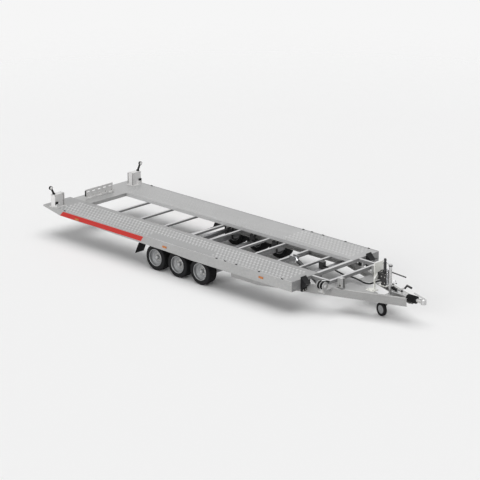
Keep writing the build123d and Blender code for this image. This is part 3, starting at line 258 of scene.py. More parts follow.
ZINC_SIDE = zinc("zinc_side_panel", (0.44, 0.44, 0.435), (0.37, 0.37, 0.37), 0.42, 46.0)
ZINC_BOX = zinc("zinc_lamp_box", (0.78, 0.775, 0.77), (0.68, 0.675, 0.67), 0.45, 60.0, 0.1)
# the left runway gets a lighter copy of the runway zinc as painted light, with its vertical faces painted
# lighter still
ZINC_DECK = zinc("zinc_runway", (0.365, 0.365, 0.365), (0.315, 0.315, 0.315), 0.5, 70.0)
ZINC_RUNWAY_PAINTED_LIGHTER = zinc("zinc_left_runway_painted_lighter", (0.45, 0.45, 0.45), (0.395, 0.395, 0.395), 0.5, 70.0, 0.35, 1.25)
# lighter than the deck: painted highlight on the stud crowns and pips
ZINC_STUD_HIGHLIGHT = zinc("zinc_stud_painted_highlight", (0.60, 0.60, 0.60), (0.50, 0.50, 0.50), 0.42, 300.0)
# the last argument paints shade on the vertical faces of the front beam, cross beams and drawbar
ZINC_FRONT = zinc("zinc_front_beam", (0.66, 0.66, 0.665), (0.56, 0.56, 0.565), 0.5, 60.0, 0.1, 0.44)
ZINC_PLANK = zinc("zinc_cross_beams", (0.64, 0.64, 0.645), (0.54, 0.54, 0.545), 0.5, 60.0, 0.1, 0.38)
ZINC_TONGUE = zinc("zinc_drawbar", (0.54, 0.535, 0.53), (0.46, 0.46, 0.455), 0.46, 60.0, 0.2, 0.62)
ZINC_FRAME = zinc("zinc_chassis", (0.34, 0.34, 0.35), (0.24, 0.24, 0.245), 0.5, 60.0)
ZINC_TOWER = zinc("zinc_tower_plate", (0.90, 0.90, 0.85), (0.80, 0.80, 0.755), 0.45, 80.0, 0.05)
ZINC_FITTING = zinc("zinc_fitting", (0.66, 0.66, 0.66), (0.46, 0.46, 0.46), 0.32, 160.0, 0.85)
BOLT_ZINC = zinc("zinc_bolts", (0.60, 0.59, 0.56), (0.38, 0.37, 0.35), 0.32, 300.0)
RIM_SILVER = paint("silver_rim_paint", (0.28, 0.285, 0.29), (0.36, 0.365, 0.37), 0.45, 0.3, 0.3)
RIM_EDGE = paint("silver_rim_edge", (0.42, 0.425, 0.43), (0.5, 0.505, 0.51), 0.34, 0.3, 0.5)
TYRE_RUBBER = rubber("tyre_rubber", (0.007, 0.007, 0.008), (0.014, 0.014, 0.014), 0.8)
SOFT_RUBBER = rubber("moulded_rubber", (0.007, 0.007, 0.008), (0.016, 0.016, 0.016), 0.66)
GUARD_PLASTIC = rubber("mudguard_plastic", (0.008, 0.008, 0.009), (0.018, 0.018, 0.018), 0.62, 400.0)
BLACK_PAINT = paint("black_paint", (0.008, 0.008, 0.009), (0.022, 0.022, 0.023), 0.45)
WHITE_STRAP = paint("white_strap", (0.86, 0.86, 0.85), (0.7, 0.7, 0.69), 0.5, 0.1)
CHROME = chrome("chrome_rod")
AMBER = lens("amber_lens", (0.60, 0.20, 0.015), (0.38, 0.10, 0.008))
RED_LENS = lens("red_lens", (0.7, 0.03, 0.02), (0.3, 0.01, 0.01))
WHITE_LENS = lens("white_lens", (0.95, 0.95, 0.93), (0.75, 0.75, 0.73))


def stripe_film():
    """Red reflective film with a fine honeycomb, as on the side panels."""
    finish = Finish("red_film", Coat_Weight=0.1, Coat_Roughness=0.3, Specular_IOR_Level=0.3)
    comb = finish.cells(260.0, "Distance", "DISTANCE_TO_EDGE").ramp(0.0, 0.12)
    fade = finish.noise(2.2, 3.0)
    shade = finish.blend(fade, (0.50, 0.014, 0.009), (0.58, 0.024, 0.014))
    finish.feed("Base Color", finish.blend(comb * 0.35 + 0.65, (0.36, 0.02, 0.02), shade))
    finish.feed("Roughness", 0.36 + comb * 0.1)
    finish.bump(comb, 0.06, 0.0005)
    return finish.material


RED_FILM = stripe_film()

FINISHES = {
    "side_panel_left": ZINC_SIDE, "side_panel_right": ZINC_SIDE,
    "runway_left": ZINC_RUNWAY_PAINTED_LIGHTER, "runway_right": ZINC_DECK,
    "front_beam": ZINC_FRONT, "rear_deck": ZINC_SIDE, "plate_bracket": ZINC_BOX, "cross_beams": ZINC_PLANK,
    "nose_frame": ZINC_PLANK, "bed_hinge_lugs": ZINC_FRAME, "chassis_beam_left": ZINC_TONGUE,
    "chassis_beam_right": ZINC_TONGUE, "chassis_cross_members": ZINC_FRAME, "tilt_shaft": ZINC_FITTING,
    "chassis_outriggers": ZINC_TONGUE,
    "tongue_gussets": ZINC_SIDE, "axles": ZINC_FRAME, "overrun_housing": ZINC_FITTING,
    "coupler_head": ZINC_FITTING, "handbrake_lever": ZINC_FITTING, "jockey_tube": ZINC_FITTING,
    "jockey_clamp": ZINC_FITTING, "jockey_fork": ZINC_FITTING, "pump_tower": ZINC_TOWER,
    "beam_drum": ZINC_FITTING, "nose_catches": ZINC_SIDE,
    "jockey_stem": CHROME, "cylinder_rod": CHROME,
    "cylinder_barrel": BLACK_PAINT, "hand_pump": BLACK_PAINT, "oil_valve": BLACK_PAINT,
    "axle_brackets": BLACK_PAINT, "lamp_housings": ZINC_BOX, "mudguards": GUARD_PLASTIC,
    "wheel_chocks": GUARD_PLASTIC, "rest_blocks": SOFT_RUBBER, "gaiter": SOFT_RUBBER,
    "pump_hose": SOFT_RUBBER, "lamp_arms": SOFT_RUBBER, "plate_lamps": WHITE_LENS,
    "side_markers": AMBER, "side_stripes": RED_FILM, "jockey_rim": RIM_SILVER, "jockey_tyre": TYRE_RUBBER,
}
for side, _ in SIDES:
    for place in AXLES:
        FINISHES[f"tyre_{side}_{place}"] = TYRE_RUBBER
        FINISHES[f"rim_{side}_{place}"] = RIM_SILVER
for name, node in NODES.items():
    node.data.materials.clear()
    node.data.materials.append(FINISHES[name])


# ------------------------------------------------------------------ mesh making
WIDEST_BEVEL = 0.45  # of a block's thinnest side
ON_AXIS = 1e-6  # a smaller radius closes a turned form in one point


class Shape:
    """Collects bevelled, turned and bent forms into one piece."""

    def __init__(self, name, body, slot, finish):
        self.name, self.body, self.slot = name, body, slot
        self.finishes = [finish]
        self.mesh = bmesh.new()

    def use(self, finish):
        if finish not in self.finishes:
            self.finishes.append(finish)
        return self.finishes.index(finish)

    def _tag(self, faces, finish):
        index = self.use(finish) if finish else 0
        for face in faces:
            face.material_index = index

    def block(self, low, high, bevel=0.003, finish=None, steps=2):
        """A bevelled bar between two corners."""
        low, high = Vector(low), Vector(high)
        made = bmesh.ops.create_cube(self.mesh, size=1.0)["verts"]
        size = high - low
        place = Matrix.Translation((low + high) / 2) @ Matrix.Diagonal((*size, 1))
        bmesh.ops.transform(self.mesh, matrix=place, verts=made)
        edges = {edge for vert in made for edge in vert.link_edges}
        faces = {face for vert in made for face in vert.link_faces}
        result = bmesh.ops.bevel(
            self.mesh, geom=list(edges), offset=min(bevel, min(size) * WIDEST_BEVEL),
            segments=steps, affect="EDGES", profile=0.5,
        )
        self._tag([f for f in faces if f.is_valid] + result["faces"], finish)

    def turned(self, profile, origin, axis=(0, 0, 1), sides=32, finish=None, closed=False):
        """A turned form from (radius, distance along the axis) pairs."""
        spin = Vector(axis).normalized().to_track_quat("Z", "X").to_matrix()
        origin = Vector(origin)
        rings = []
        for radius, along in profile:
            if radius < ON_AXIS:
                rings.append([self.mesh.verts.new(origin + spin @ Vector((0, 0, along)))])
                continue
            ring = []
            for step in range(sides):
                angle = 2 * math.pi * (step + 0.5) / sides
                local = Vector((radius * math.cos(angle), radius * math.sin(angle), along))
                ring.append(self.mesh.verts.new(origin + spin @ local))
            rings.append(ring)
        pairs = list(zip(rings, rings[1:]))
        if closed:
            pairs.append((rings[-1], rings[0]))
        faces = []
        for low, high in pairs:
            for step in range(sides):
                after = (step + 1) % sides
                corners = (
                    low[step % len(low)], low[after % len(low)],
                    high[after % len(high)], high[step % len(high)],
                )
                unique = list(dict.fromkeys(corners))
                if len(unique) > 2:
                    faces.append(self.mesh.faces.new(unique))
        self._tag(faces, finish)

    def rod(self, start, end, radius, sides=20, finish=None, edge=0.25):
        """A round bar with softened ends."""
        start, end = Vector(start), Vector(end)
        length = (end - start).length
        lip = min(radius * edge, length * 0.3)
        profile = [
            (0, 0), (radius - lip, 0), (radius, lip),
            (radius, length - lip), (radius - lip, length), (0, length),
        ]
        self.turned(profile, start, end - start, sides, finish)

    def bolt(self, at, axis, radius=0.009, finish=None):
        """A washer and a hexagon head standing on a face."""
        axis = Vector(axis).normalized()
        at = Vector(at)
        washer = [(0, 0), (radius * 1.75, 0), (radius * 1.75, radius * 0.25), (0, radius * 0.25)]
        self.turned(washer, at, axis, 16, finish)
        head = [
            (0, 0), (radius, 0), (radius, radius * 0.75),
            (radius * 0.8, radius * 0.95), (0, radius * 0.95),
        ]
        self.turned(head, at + axis * radius * 0.24, axis, 6, finish)

    def bent(self, points, radius, sides=12, finish=None):
        """A round bar that follows points, mitred at each."""
        points = [Vector(point) for point in points]
        rings = []
        normal = None
        for number, point in enumerate(points):
            before = points[max(number - 1, 0)]
            after = points[min(number + 1, len(points) - 1)]
            ahead = (after - before).normalized()
            if normal is None:
                normal = ahead.orthogonal().normalized()
            normal = (normal - ahead * normal.dot(ahead)).normalized()
            across = ahead.cross(normal)
            ring = []
            for step in range(sides):
                angle = 2 * math.pi * step / sides
                offset = normal * math.cos(angle) * radius + across * math.sin(angle) * radius
                ring.append(self.mesh.verts.new(point + offset))
            rings.append(ring)
        faces = []
        for low, high in zip(rings, rings[1:]):
            for step in range(sides):
                after = (step + 1) % sides
                faces.append(self.mesh.faces.new([low[step], low[after], high[after], high[step]]))
        faces.append(self.mesh.faces.new(rings[0][::-1]))
        faces.append(self.mesh.faces.new(rings[-1]))
        self._tag(faces, finish)

    def done(self, replaces=(), smooth=40):
        """Turns the collected forms into a piece that rides on its body."""
        bmesh.ops.recalc_face_normals(self.mesh, faces=self.mesh.faces)
        data = bpy.data.meshes.new(self.name)
        self.mesh.to_mesh(data)
        self.mesh.free()
        piece = bpy.data.objects.new(self.name, data)
        bpy.context.scene.collection.objects.link(piece)
        for finish in self.finishes:
            data.materials.append(finish)
        data.shade_smooth()
        data.set_sharp_from_angle(angle=math.radians(smooth))
        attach(piece, self.body)
        if replaces:
            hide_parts(*replaces)


# ------------------------------------------------------------------ anti-slip runways
RUNWAY_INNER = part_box("runway_left")[0].y
RUNWAY_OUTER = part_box("runway_left")[1].y
SHEET = 0.005
STUD_PITCH = 0.075
STUD_ROWS = (0.560, 0.663, 0.766, 0.869, 0.972)  # their distance from the middle
PLAIN_ROWS = (3, 4)  # left plain over the wheels
ROW_PITCH = STUD_ROWS[1] - STUD_ROWS[0]
STUD_SIDES = 20
STUD_SECTION = (  # radius and height, from the foot over the crown into the opening
    (0.0215, 0.0), (0.0190, 0.0026), (0.0155, 0.0040),
    (0.0105, 0.0040), (0.0082, 0.0028), (0.0075, -0.004),
)
PIP_SIDES = 12
PIP_SECTION = ((0.0115, 0.0), (0.0090, 0.0018), (0.0045, 0.0026), (0.0, 0.0028))
HIGHLIGHT_FROM = 0.4  # studs of the left runway are bright only ahead of this
WHEEL_BAY = (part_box("tyre_left_rear")[0].x - 0.02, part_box("tyre_left_front")[1].x + 0.02)
BASE_LOW, BASE_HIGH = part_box("lamp_housings")
BASE_INNER = 0.804  # inner edge of the lamp housing's foot
CAP_SETBACKS = (5.43, 1.68, 1.48, 1.23, 0.72, 0.21)  # behind the front edge
BEAM_SETBACKS = (0.533, 1.007, 1.529, 1.907, 2.58, 2.995, 3.69, 4.295, 4.9)
PANEL_BOLT_SETBACKS = (0.07, 0.36, 1.35, 2.05, 2.6, 3.2, 5.62, 5.78)


def dome_of(mesh, material, at):
    """A small pressed pip between four studs."""
    loops = []
    for radius, height in PIP_SECTION:
        loop = []
        for step in range(PIP_SIDES if radius else 1):
            angle = 2 * math.pi * step / PIP_SIDES
            x = at[0] + radius * math.cos(angle)
            y = at[1] + radius * math.sin(angle)
            loop.append(mesh.verts.new((x, y, at[2] + height)))
        loops.append(loop)
    for low, high in zip(loops, loops[1:]):
        for step in range(PIP_SIDES):
            after = (step + 1) % PIP_SIDES
            corners = (low[step], low[after], high[after % len(high)], high[step % len(high)])
            mesh.faces.new(list(dict.fromkeys(corners))).material_index = material


def punched_cells(piece, sign, start_x, columns):
    """One raised, pierced stud in each cell, but plain outer cells over the wheels."""
    mesh = piece.mesh
    # the crowns and pips take the lighter stud zinc as painted highlight
    stud_highlight = piece.use(ZINC_STUD_HIGHLIGHT)
    points = {}

    def vert(x, y):
        key = (round(x, 5), round(y, 5))
        if key not in points:
            points[key] = mesh.verts.new((x, y * sign, DECK))
        return points[key]

    quarter = STUD_SIDES // 4
    for column in range(columns):
        middle_x = start_x + (column + 0.5) * STUD_PITCH
        # the left runway's rear studs go without the painted highlight
        bright = stud_highlight if sign < 0 or middle_x > HIGHLIGHT_FROM else 0
        for row, middle_y in enumerate(STUD_ROWS):
            edge = []
            for step in range(STUD_SIDES):
                corner, part = divmod(step, quarter)
                along = 2 * part / quarter - 1
                side_x, side_y = ((1, along), (-along, 1), (-1, -along), (along, -1))[corner]
                edge.append(vert(middle_x + side_x * STUD_PITCH / 2, middle_y + side_y * ROW_PITCH / 2))
            if row in PLAIN_ROWS and WHEEL_BAY[0] < middle_x < WHEEL_BAY[1]:
                mesh.faces.new(edge)
                continue
            loops = [edge]
            dome_of(mesh, bright, (middle_x + STUD_PITCH / 2, (middle_y + ROW_PITCH / 2) * sign, DECK))
            for radius, height in STUD_SECTION:
                loop = []
                for step in range(STUD_SIDES):
                    angle = 2 * math.pi * step / STUD_SIDES - math.pi / 4
                    x = middle_x + radius * math.cos(angle)
                    y = middle_y + radius * math.sin(angle)
                    loop.append(mesh.verts.new((x, y * sign, DECK + height)))
                loops.append(loop)
            for number, (low, high) in enumerate(zip(loops, loops[1:])):
                for step in range(STUD_SIDES):
                    after = (step + 1) % STUD_SIDES
                    face = mesh.faces.new([low[step], low[after], high[after], high[step]])
                    face.material_index = bright if number else 0


def finish_runway(side, sign):
    """A runway's punched deck in its plain borders, with the flanges below."""
    piece = Shape(f"runway_deck_{side}", "bed", "galvanised", FINISHES[f"runway_{side}"])
    start_x = BASE_HIGH.x + 0.02
    end_limit = FRONT - 0.11
    columns = int((end_limit - start_x) / STUD_PITCH)
    end_x = start_x + columns * STUD_PITCH
    punched_cells(piece, sign, start_x, columns)
    first_y = STUD_ROWS[0] - ROW_PITCH / 2
    last_y = STUD_ROWS[-1] + ROW_PITCH / 2
    low_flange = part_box(f"runway_{side}")[0].z

    def slab(x0, x1, y0, y1, z0, z1):
        a, b = sorted((y0 * sign, y1 * sign))
        piece.block((x0, a, z0), (x1, b, z1), 0.0015, steps=1)

    # plain borders, the front strip, then the sheet around the lamp's foot
    slab(start_x, FRONT, RUNWAY_INNER, first_y, DECK - SHEET, DECK)
    slab(start_x, FRONT, last_y, RUNWAY_OUTER, DECK - SHEET, DECK)
    slab(end_x, FRONT, first_y, last_y, DECK - SHEET, DECK)
    slab(TAIL, start_x, RUNWAY_INNER, BASE_INNER - 0.001, DECK - SHEET, DECK)
    slab(TAIL, BASE_LOW.x - 0.001, BASE_INNER, RUNWAY_OUTER, DECK - SHEET, DECK)
    slab(BASE_HIGH.x + 0.001, start_x, BASE_INNER, RUNWAY_OUTER, DECK - SHEET, DECK)
    # flanges below
    ramp_x = TAIL + 0.44
    for y in (RUNWAY_INNER + 0.0025, (RUNWAY_INNER + RUNWAY_OUTER) / 2, RUNWAY_OUTER - 0.03):
        slab(ramp_x, FRONT - 0.06, y - 0.0025, y + 0.0025, low_flange, DECK - SHEET)
    piece.done([f"runway_{side}"], 30)


def runway_trim(side, sign):
    """The rolled outer lip with its black lashing caps, and the bolts over the cross beams."""
    # the left lip takes the dark chassis zinc as painted shade, the right one the pale fitting zinc as
    # painted highlight
    finish = ZINC_FRAME if sign > 0 else ZINC_FITTING
    lip = Shape(f"runway_lip_{side}", "bed", "galvanised", finish)
    edge = RUNWAY_OUTER - 0.004
    ends = [(x, edge * sign, DECK + 0.001) for x in (TAIL + 0.25, FRONT - 0.004)]
    lip.bent(ends, 0.005, 8)
    lip.done()
    caps = Shape(f"lashing_caps_{side}", "bed", "rubber", SOFT_RUBBER)
    for setback in CAP_SETBACKS:
        x = FRONT - setback
        low = (x - 0.022, edge * sign - 0.012, DECK - 0.001)
        high = (x + 0.022, edge * sign + 0.004, DECK + 0.012)
        caps.block(low, high, 0.004)
    caps.done()
    bolts = Shape(f"runway_bolts_{side}", "bed", "galvanised", BOLT_ZINC)
    for setback in BEAM_SETBACKS:
        for y in (RUNWAY_INNER + 0.025, RUNWAY_INNER + 0.055):
            bolts.bolt((FRONT - setback, y * sign, DECK - 0.0005), (0, 0, 1), 0.006)
    bolts.done()


def panel_bolts(side, sign):
    """Bolts that hold each side panel to its runway, clear of the film and the marker lamps."""
    bolts = Shape(f"panel_bolts_{side}", "bed", "galvanised", BOLT_ZINC)
    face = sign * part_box("side_panel_left")[1].y
    for setback in PANEL_BOLT_SETBACKS:
        bolts.bolt((FRONT - setback, face, DECK - 0.022), (0, sign, 0), 0.0055)
    for drop in (0.06, 0.105, 0.145):
        bolts.bolt((FRONT - 0.03, face, DECK - drop), (0, sign, 0), 0.0055)
    bolts.done()


for side, sign in SIDES:
    finish_runway(side, sign)
    runway_trim(side, sign)
    panel_bolts(side, sign)


# ------------------------------------------------------------------ wheels
TYRE_WIDTH, TYRE_SEAT = 0.195, 0.146  # the seat is the bead's radius
TYRE_SIDES = 72
WHEEL_NUTS, NUT_CIRCLE = 5, 0.056
NUT_FACE, HUB_FACE, RIM_FACE = 0.0215, 0.0648, 0.0845  # outward from the wheel's middle


def ribbed_tyre(side, place, middle, radius):
    """A tyre with rounded shoulders, a fitting line on its side and plain ribs."""
    piece = Shape(f"road_tyre_{side}_{place}", f"wheel_{side}_{place}", "tyre", TYRE_RUBBER)
    half, seat = TYRE_WIDTH / 2, TYRE_SEAT
    side_profile = [
        (seat + 0.0005, half - 0.014), (seat + 0.008, half - 0.004), (seat + 0.020, half - 0.0005),
        (seat + 0.025, half - 0.0018), (seat + 0.030, half - 0.0005), (radius - 0.034, half - 0.0012),
        (radius - 0.031, half - 0.0026), (radius - 0.028, half - 0.0018), (radius - 0.016, half - 0.0035),
        (radius - 0.008, half - 0.0065), (radius - 0.003, half - 0.0115), (radius, half - 0.019),
    ]
    grooves = []
    for centre in (0.55, 0.19, -0.19, -0.55):
        for offset, depth in ((0.055, 0.0), (0.045, 0.004), (-0.045, 0.004), (-0.055, 0.0)):
            grooves.append((radius - depth, half * (centre + offset)))
    profile = side_profile + grooves + [(r, -y) for r, y in reversed(side_profile)]
    piece.turned(profile, middle, (0, 1, 0), TYRE_SIDES, closed=True)
    piece.done([f"tyre_{side}_{place}"], 32)


def wheel(side, sign, place):
    """A road wheel's tyre, nuts, valve, rim edge and hub cap."""
    rim_low, rim_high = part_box(f"rim_{side}_{place}")
    low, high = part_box(f"tyre_{side}_{place}")
    middle = Vector(((low.x + high.x) / 2, (low.y + high.y) / 2, (rim_low.z + rim_high.z) / 2))
    ribbed_tyre(side, place, middle, middle.z)
    trim = Shape(f"wheel_trim_{side}_{place}", f"wheel_{side}_{place}", "silver", BOLT_ZINC)
    for number in range(WHEEL_NUTS):
        angle = 2 * math.pi * number / WHEEL_NUTS + 0.3
        x = middle.x + NUT_CIRCLE * math.cos(angle)
        z = middle.z + NUT_CIRCLE * math.sin(angle)
        trim.bolt((x, middle.y + sign * NUT_FACE, z), (0, sign, 0), 0.010)
    valve = Vector((middle.x + 0.121, middle.y + sign * 0.038, middle.z))
    trim.rod(valve, valve + Vector((-0.006, sign * 0.034, 0)), 0.004, 10, SOFT_RUBBER)
    lip = [
        (0.1395, -0.004), (0.1460, -0.004), (0.1478, 0.003),
        (0.1474, 0.0085), (0.1435, 0.0105), (0.1395, 0.008),
    ]
    lip_at = (middle.x, middle.y + sign * RIM_FACE, middle.z)
    trim.turned(lip, lip_at, (0, sign, 0), 64, RIM_EDGE, closed=True)
    # the hub cap's turned ring and small centre boss
    cap = [(0.0, 0.0), (0.022, 0.0), (0.022, 0.002), (0.015, 0.0035), (0.006, 0.0035), (0.0, 0.003)]
    cap_at = (middle.x, middle.y + sign * HUB_FACE, middle.z)
    trim.turned(cap, cap_at, (0, sign, 0), 32, RIM_EDGE)
    trim.done()


for side, sign in SIDES:
    for place in AXLES:
        wheel(side, sign, place)


# ------------------------------------------------------------------ tail: lamps and plate bracket
LENSES = ((0.142, 0.2, RED_LENS), (0.088, 0.136, AMBER), (0.036, 0.082, WHITE_LENS))  # above the deck


def tail_lamp(side, sign):
    """Lenses on the housing's rear face, its plug on the front, the guard's rubber edge and bolts."""
    lamp = Shape(f"tail_lamp_{side}", "bed", "black_paint", GUARD_PLASTIC)
    rear, front = -3.750, -3.640
    outer, inner = 1.05, 0.85

    def span(y0, y1):
        return sorted((y0 * sign, y1 * sign))

    y0, y1 = span(inner + 0.014, outer - 0.014)
    lamp.block((rear - 0.006, y0, DECK + 0.028), (rear, y1, DECK + 0.208), 0.004)
    for foot, top, finish in LENSES:
        low = (rear - 0.016, y0 + 0.008, DECK + foot)
        high = (rear - 0.005, y1 - 0.008, DECK + top)
        lamp.block(low, high, 0.005, finish)
    # plug socket with its two dark cable glands
    plug_y = 1.015 * sign
    low = (front - 0.002, plug_y - 0.029, DECK + 0.042)
    high = (front + 0.022, plug_y + 0.029, DECK + 0.100)
    lamp.block(low, high, 0.006)
    for shift in (-0.013, 0.013):
        start = (front + 0.018, plug_y + shift, DECK + 0.056)
        end = (front + 0.034, plug_y + shift, DECK + 0.050)
        lamp.rod(start, end, 0.008, 16)
    # the guard's rubber edge
    y0, y1 = span(0.8185, 0.8335)
    lamp.block((rear - 0.003, y0, DECK + 0.03), (rear + 0.010, y1, DECK + 0.225), 0.003)
    # cover screws and the seam of the lid
    for y in (inner + 0.022, outer - 0.022):
        for z in (0.1, 0.208):
            lamp.bolt((front, y * sign, DECK + z), (1, 0, 0), 0.005, BOLT_ZINC)
    y0, y1 = span(inner - 0.001, outer + 0.001)
    low = (rear - 0.001, y0, DECK + 0.2165)
    high = (front + 0.001, y1, DECK + 0.2195)
    lamp.block(low, high, 0.001, ZINC_FITTING, steps=1)
    for x in (BASE_LOW.x + 0.02, BASE_HIGH.x - 0.02):
        for y in (0.838, 1.04):
            lamp.bolt((x, y * sign, DECK), (0, 0, 1), 0.006, BOLT_ZINC)
    lamp.done()


def marker_arm(side, sign):
    """Pale lens discs in the rubber rings at the arms' heads: clear ahead, red behind."""
    low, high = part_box("lamp_arms")
    head = Vector(((low.x + high.x) / 2, sign * (high.y - 0.034), high.z - 0.034))
    piece = Shape(f"marker_arm_lens_{side}", "bed", "gloss_white", WHITE_LENS)
    for out, finish in ((1, WHITE_LENS), (-1, RED_LENS)):
        dome = [(0, 0.0), (0.026, 0.0), (0.026, 0.002), (0.020, 0.0048), (0.010, 0.0062), (0, 0.0066)]
        piece.turned(dome, head + Vector((out * 0.0148, 0, 0)), (out, 0, 0), 32, finish)
    piece.done()


for side, sign in SIDES:
    tail_lamp(side, sign)
    marker_arm(side, sign)


def bracket_trim():
    """Rubber end strip and bolts on the number plate bracket."""
    trim = Shape("bracket_trim", "bed", "black_paint", SOFT_RUBBER)
    low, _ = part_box("plate_bracket")
    strip_low = (low.x - 0.004, low.y - 0.012, DECK + 0.05)
    strip_high = (low.x + 0.014, low.y + 0.006, DECK + 0.155)
    trim.block(strip_low, strip_high, 0.003)
    for y in (-0.3, -0.15, 0.0, 0.15, 0.3):
        trim.bolt((low.x + 0.004, y, DECK + 0.045), (1, 0, 0), 0.006, BOLT_ZINC)
        trim.bolt((low.x + 0.017, y + 0.05, DECK + 0.026), (0, 0, 1), 0.006, BOLT_ZINC)
    trim.done()


bracket_trim()


# ------------------------------------------------------------------ tongue: pump, post, drum and catches
PUMP_X, POST_X = 3.091, 3.205  # middle of the hand pump and of the jockey post
COLLAR_BORE = 0.0285  # inner radius of the post's collars
COIL_STEPS = 14  # to a turn of the spring


def coil(piece, low, high, radius, wire, turns, finish):
    """A coil spring's wire from one point to another."""
    low, high = Vector(low), Vector(high)
    steps = turns * COIL_STEPS
    points = []
    for step in range(steps + 1):
        share = step / steps
        angle = 2 * math.pi * turns * share
        middle = low.lerp(high, share)
        points.append(middle + Vector((radius * math.cos(angle), radius * math.sin(angle), 0)))
    piece.bent(points, wire, 7, finish)


def pump_fittings():
    """Valve star, knob, return spring, brace to the post and the pump's collars."""
    piece = Shape("pump_fittings", "chassis", "black_paint", BLACK_PAINT)
    at = Vector((PUMP_X, 0, 0.742))
    hub = [(0, -0.02), (0.031, -0.02), (0.034, -0.012), (0.034, 0.006), (0.026, 0.014), (0, 0.014)]
    piece.turned(hub, at, (0, 0, 1), 24)
    for turn in range(4):
        angle = math.pi / 2 * turn
        ahead = Vector((math.cos(angle), math.sin(angle), 0))
        arm = ((0.018, 0), (0.055, -0.008), (0.088, -0.026))
        piece.bent([at + ahead * out + Vector((0, 0, up)) for out, up in arm], 0.0095, 10)
    knob = [
        (0, 0), (0.014, 0), (0.021, 0.006), (0.023, 0.018),
        (0.0215, 0.034), (0.014, 0.042), (0, 0.044),
    ]
    piece.turned(knob, (PUMP_X, 0, 0.896), (0, 0, 1), 28)
    collar = [(0.0245, 0), (0.0285, 0.002), (0.0285, 0.012), (0.0245, 0.014)]
    for z in (0.700, 0.86):
        piece.turned(collar, (PUMP_X, 0, z), (0, 0, 1), 28, closed=True)
    # body cap screws, and those of its right face
    for x in (-0.036, 0.036):
        for y in (-0.032, 0.032):
            piece.bolt((PUMP_X + x, y, 0.69), (0, 0, 1), 0.006, BOLT_ZINC)
    for z in (0.545, 0.645):
        for x in (-0.034, 0.034):
            piece.bolt((PUMP_X + x, -0.045, z), (0, -1, 0), 0.0055, BOLT_ZINC)
    coil(piece, (3.165, -0.034, 0.505), (3.165, -0.034, 0.80), 0.0105, 0.0035, 13, CHROME)
    brace = [(PUMP_X + 0.01, 0, 0.868), (POST_X - 0.01, 0, 0.8605), (POST_X + 0.02, 0, 0.858)]
    piece.bent(brace, 0.0065, 10, ZINC_FITTING)
    collar = [(COLLAR_BORE, 0), (0.032, 0.002), (0.032, 0.018), (COLLAR_BORE, 0.02)]
    piece.turned(collar, (POST_X, 0, 0.835), (0, 0, 1), 28, closed=True)
    piece.done()


def post_fittings():
    """The jockey post's collar, its clamp handle with a ring and two grips, and foot bolts."""
    piece = Shape("post_fittings", "chassis", "galvanised", ZINC_FITTING)
    collar = [(COLLAR_BORE, 0), (0.034, 0.003), (0.034, 0.027), (COLLAR_BORE, 0.03)]
    piece.turned(collar, (POST_X, 0, 0.53), (0, 0, 1), 32, closed=True)
    piece.rod((POST_X + 0.03, 0, 0.545), (POST_X + 0.085, 0, 0.575), 0.0075, 14)
    ring = []
    for step in range(25):
        angle = math.pi * (step / 24 * 1.7 - 0.6)
        ring.append((POST_X + 0.088, 0.031 * math.cos(angle), 0.588 + 0.031 * math.sin(angle)))
    piece.bent(ring, 0.0055, 9, CHROME)
    for y in (-0.036, 0.036):
        piece.rod((POST_X + 0.076, y, 0.568), (POST_X + 0.1, y, 0.560), 0.010, 14, SOFT_RUBBER)
    for y in (-0.15, -0.11, 0.11, 0.15):
        piece.bolt((3.26, y, 0.34), (1, 0, 0), 0.007, BOLT_ZINC)
    piece.done()


def brake_fittings():
    """The handbrake's black grip, its black discs and knob, and the overrun's bolts and greaser."""
    piece = Shape("brake_fittings", "chassis", "galvanised", SOFT_RUBBER)
    foot = Vector((3.305, 0, 0.45))
    elbow = foot + Vector((0.2, 0, 0.088))
    knee = foot + Vector((0.244, 0, 0.148))
    end = foot + Vector((0.338, 0, 0.128))
    start = elbow + (knee - elbow) * 0.05
    piece.bent([start, knee + Vector((0, 0, -0.0015)), end + Vector((0.0, 0, -0.001))], 0.0172, 14)
    disc = [
        (0, -0.021), (0.020, -0.021), (0.023, -0.017),
        (0.023, 0.017), (0.020, 0.021), (0, 0.021),
    ]
    for x, z in ((3.262, 0.492), (3.292, 0.482), (3.330, 0.474)):
        piece.turned(disc, (x, 0, z), (0, 1, 0), 24)
    piece.rod((3.448, -0.004, 0.447), (3.448, -0.004, 0.468), 0.008, 12, ZINC_FITTING)
    knob = [(0, 0), (0.013, 0), (0.0185, 0.007), (0.0185, 0.02), (0.013, 0.028), (0, 0.029)]
    piece.turned(knob, (3.448, -0.004, 0.466), (0, 0, 1), 24)
    for x in (3.36, 3.50):
        for side in (-1, 1):
            piece.bolt((x, side * 0.045, 0.388), (0, side, 0), 0.008, BOLT_ZINC)
    piece.rod((3.53, -0.018, 0.449), (3.53, -0.018, 0.464), 0.005, 10, ZINC_FITTING)
    piece.done()


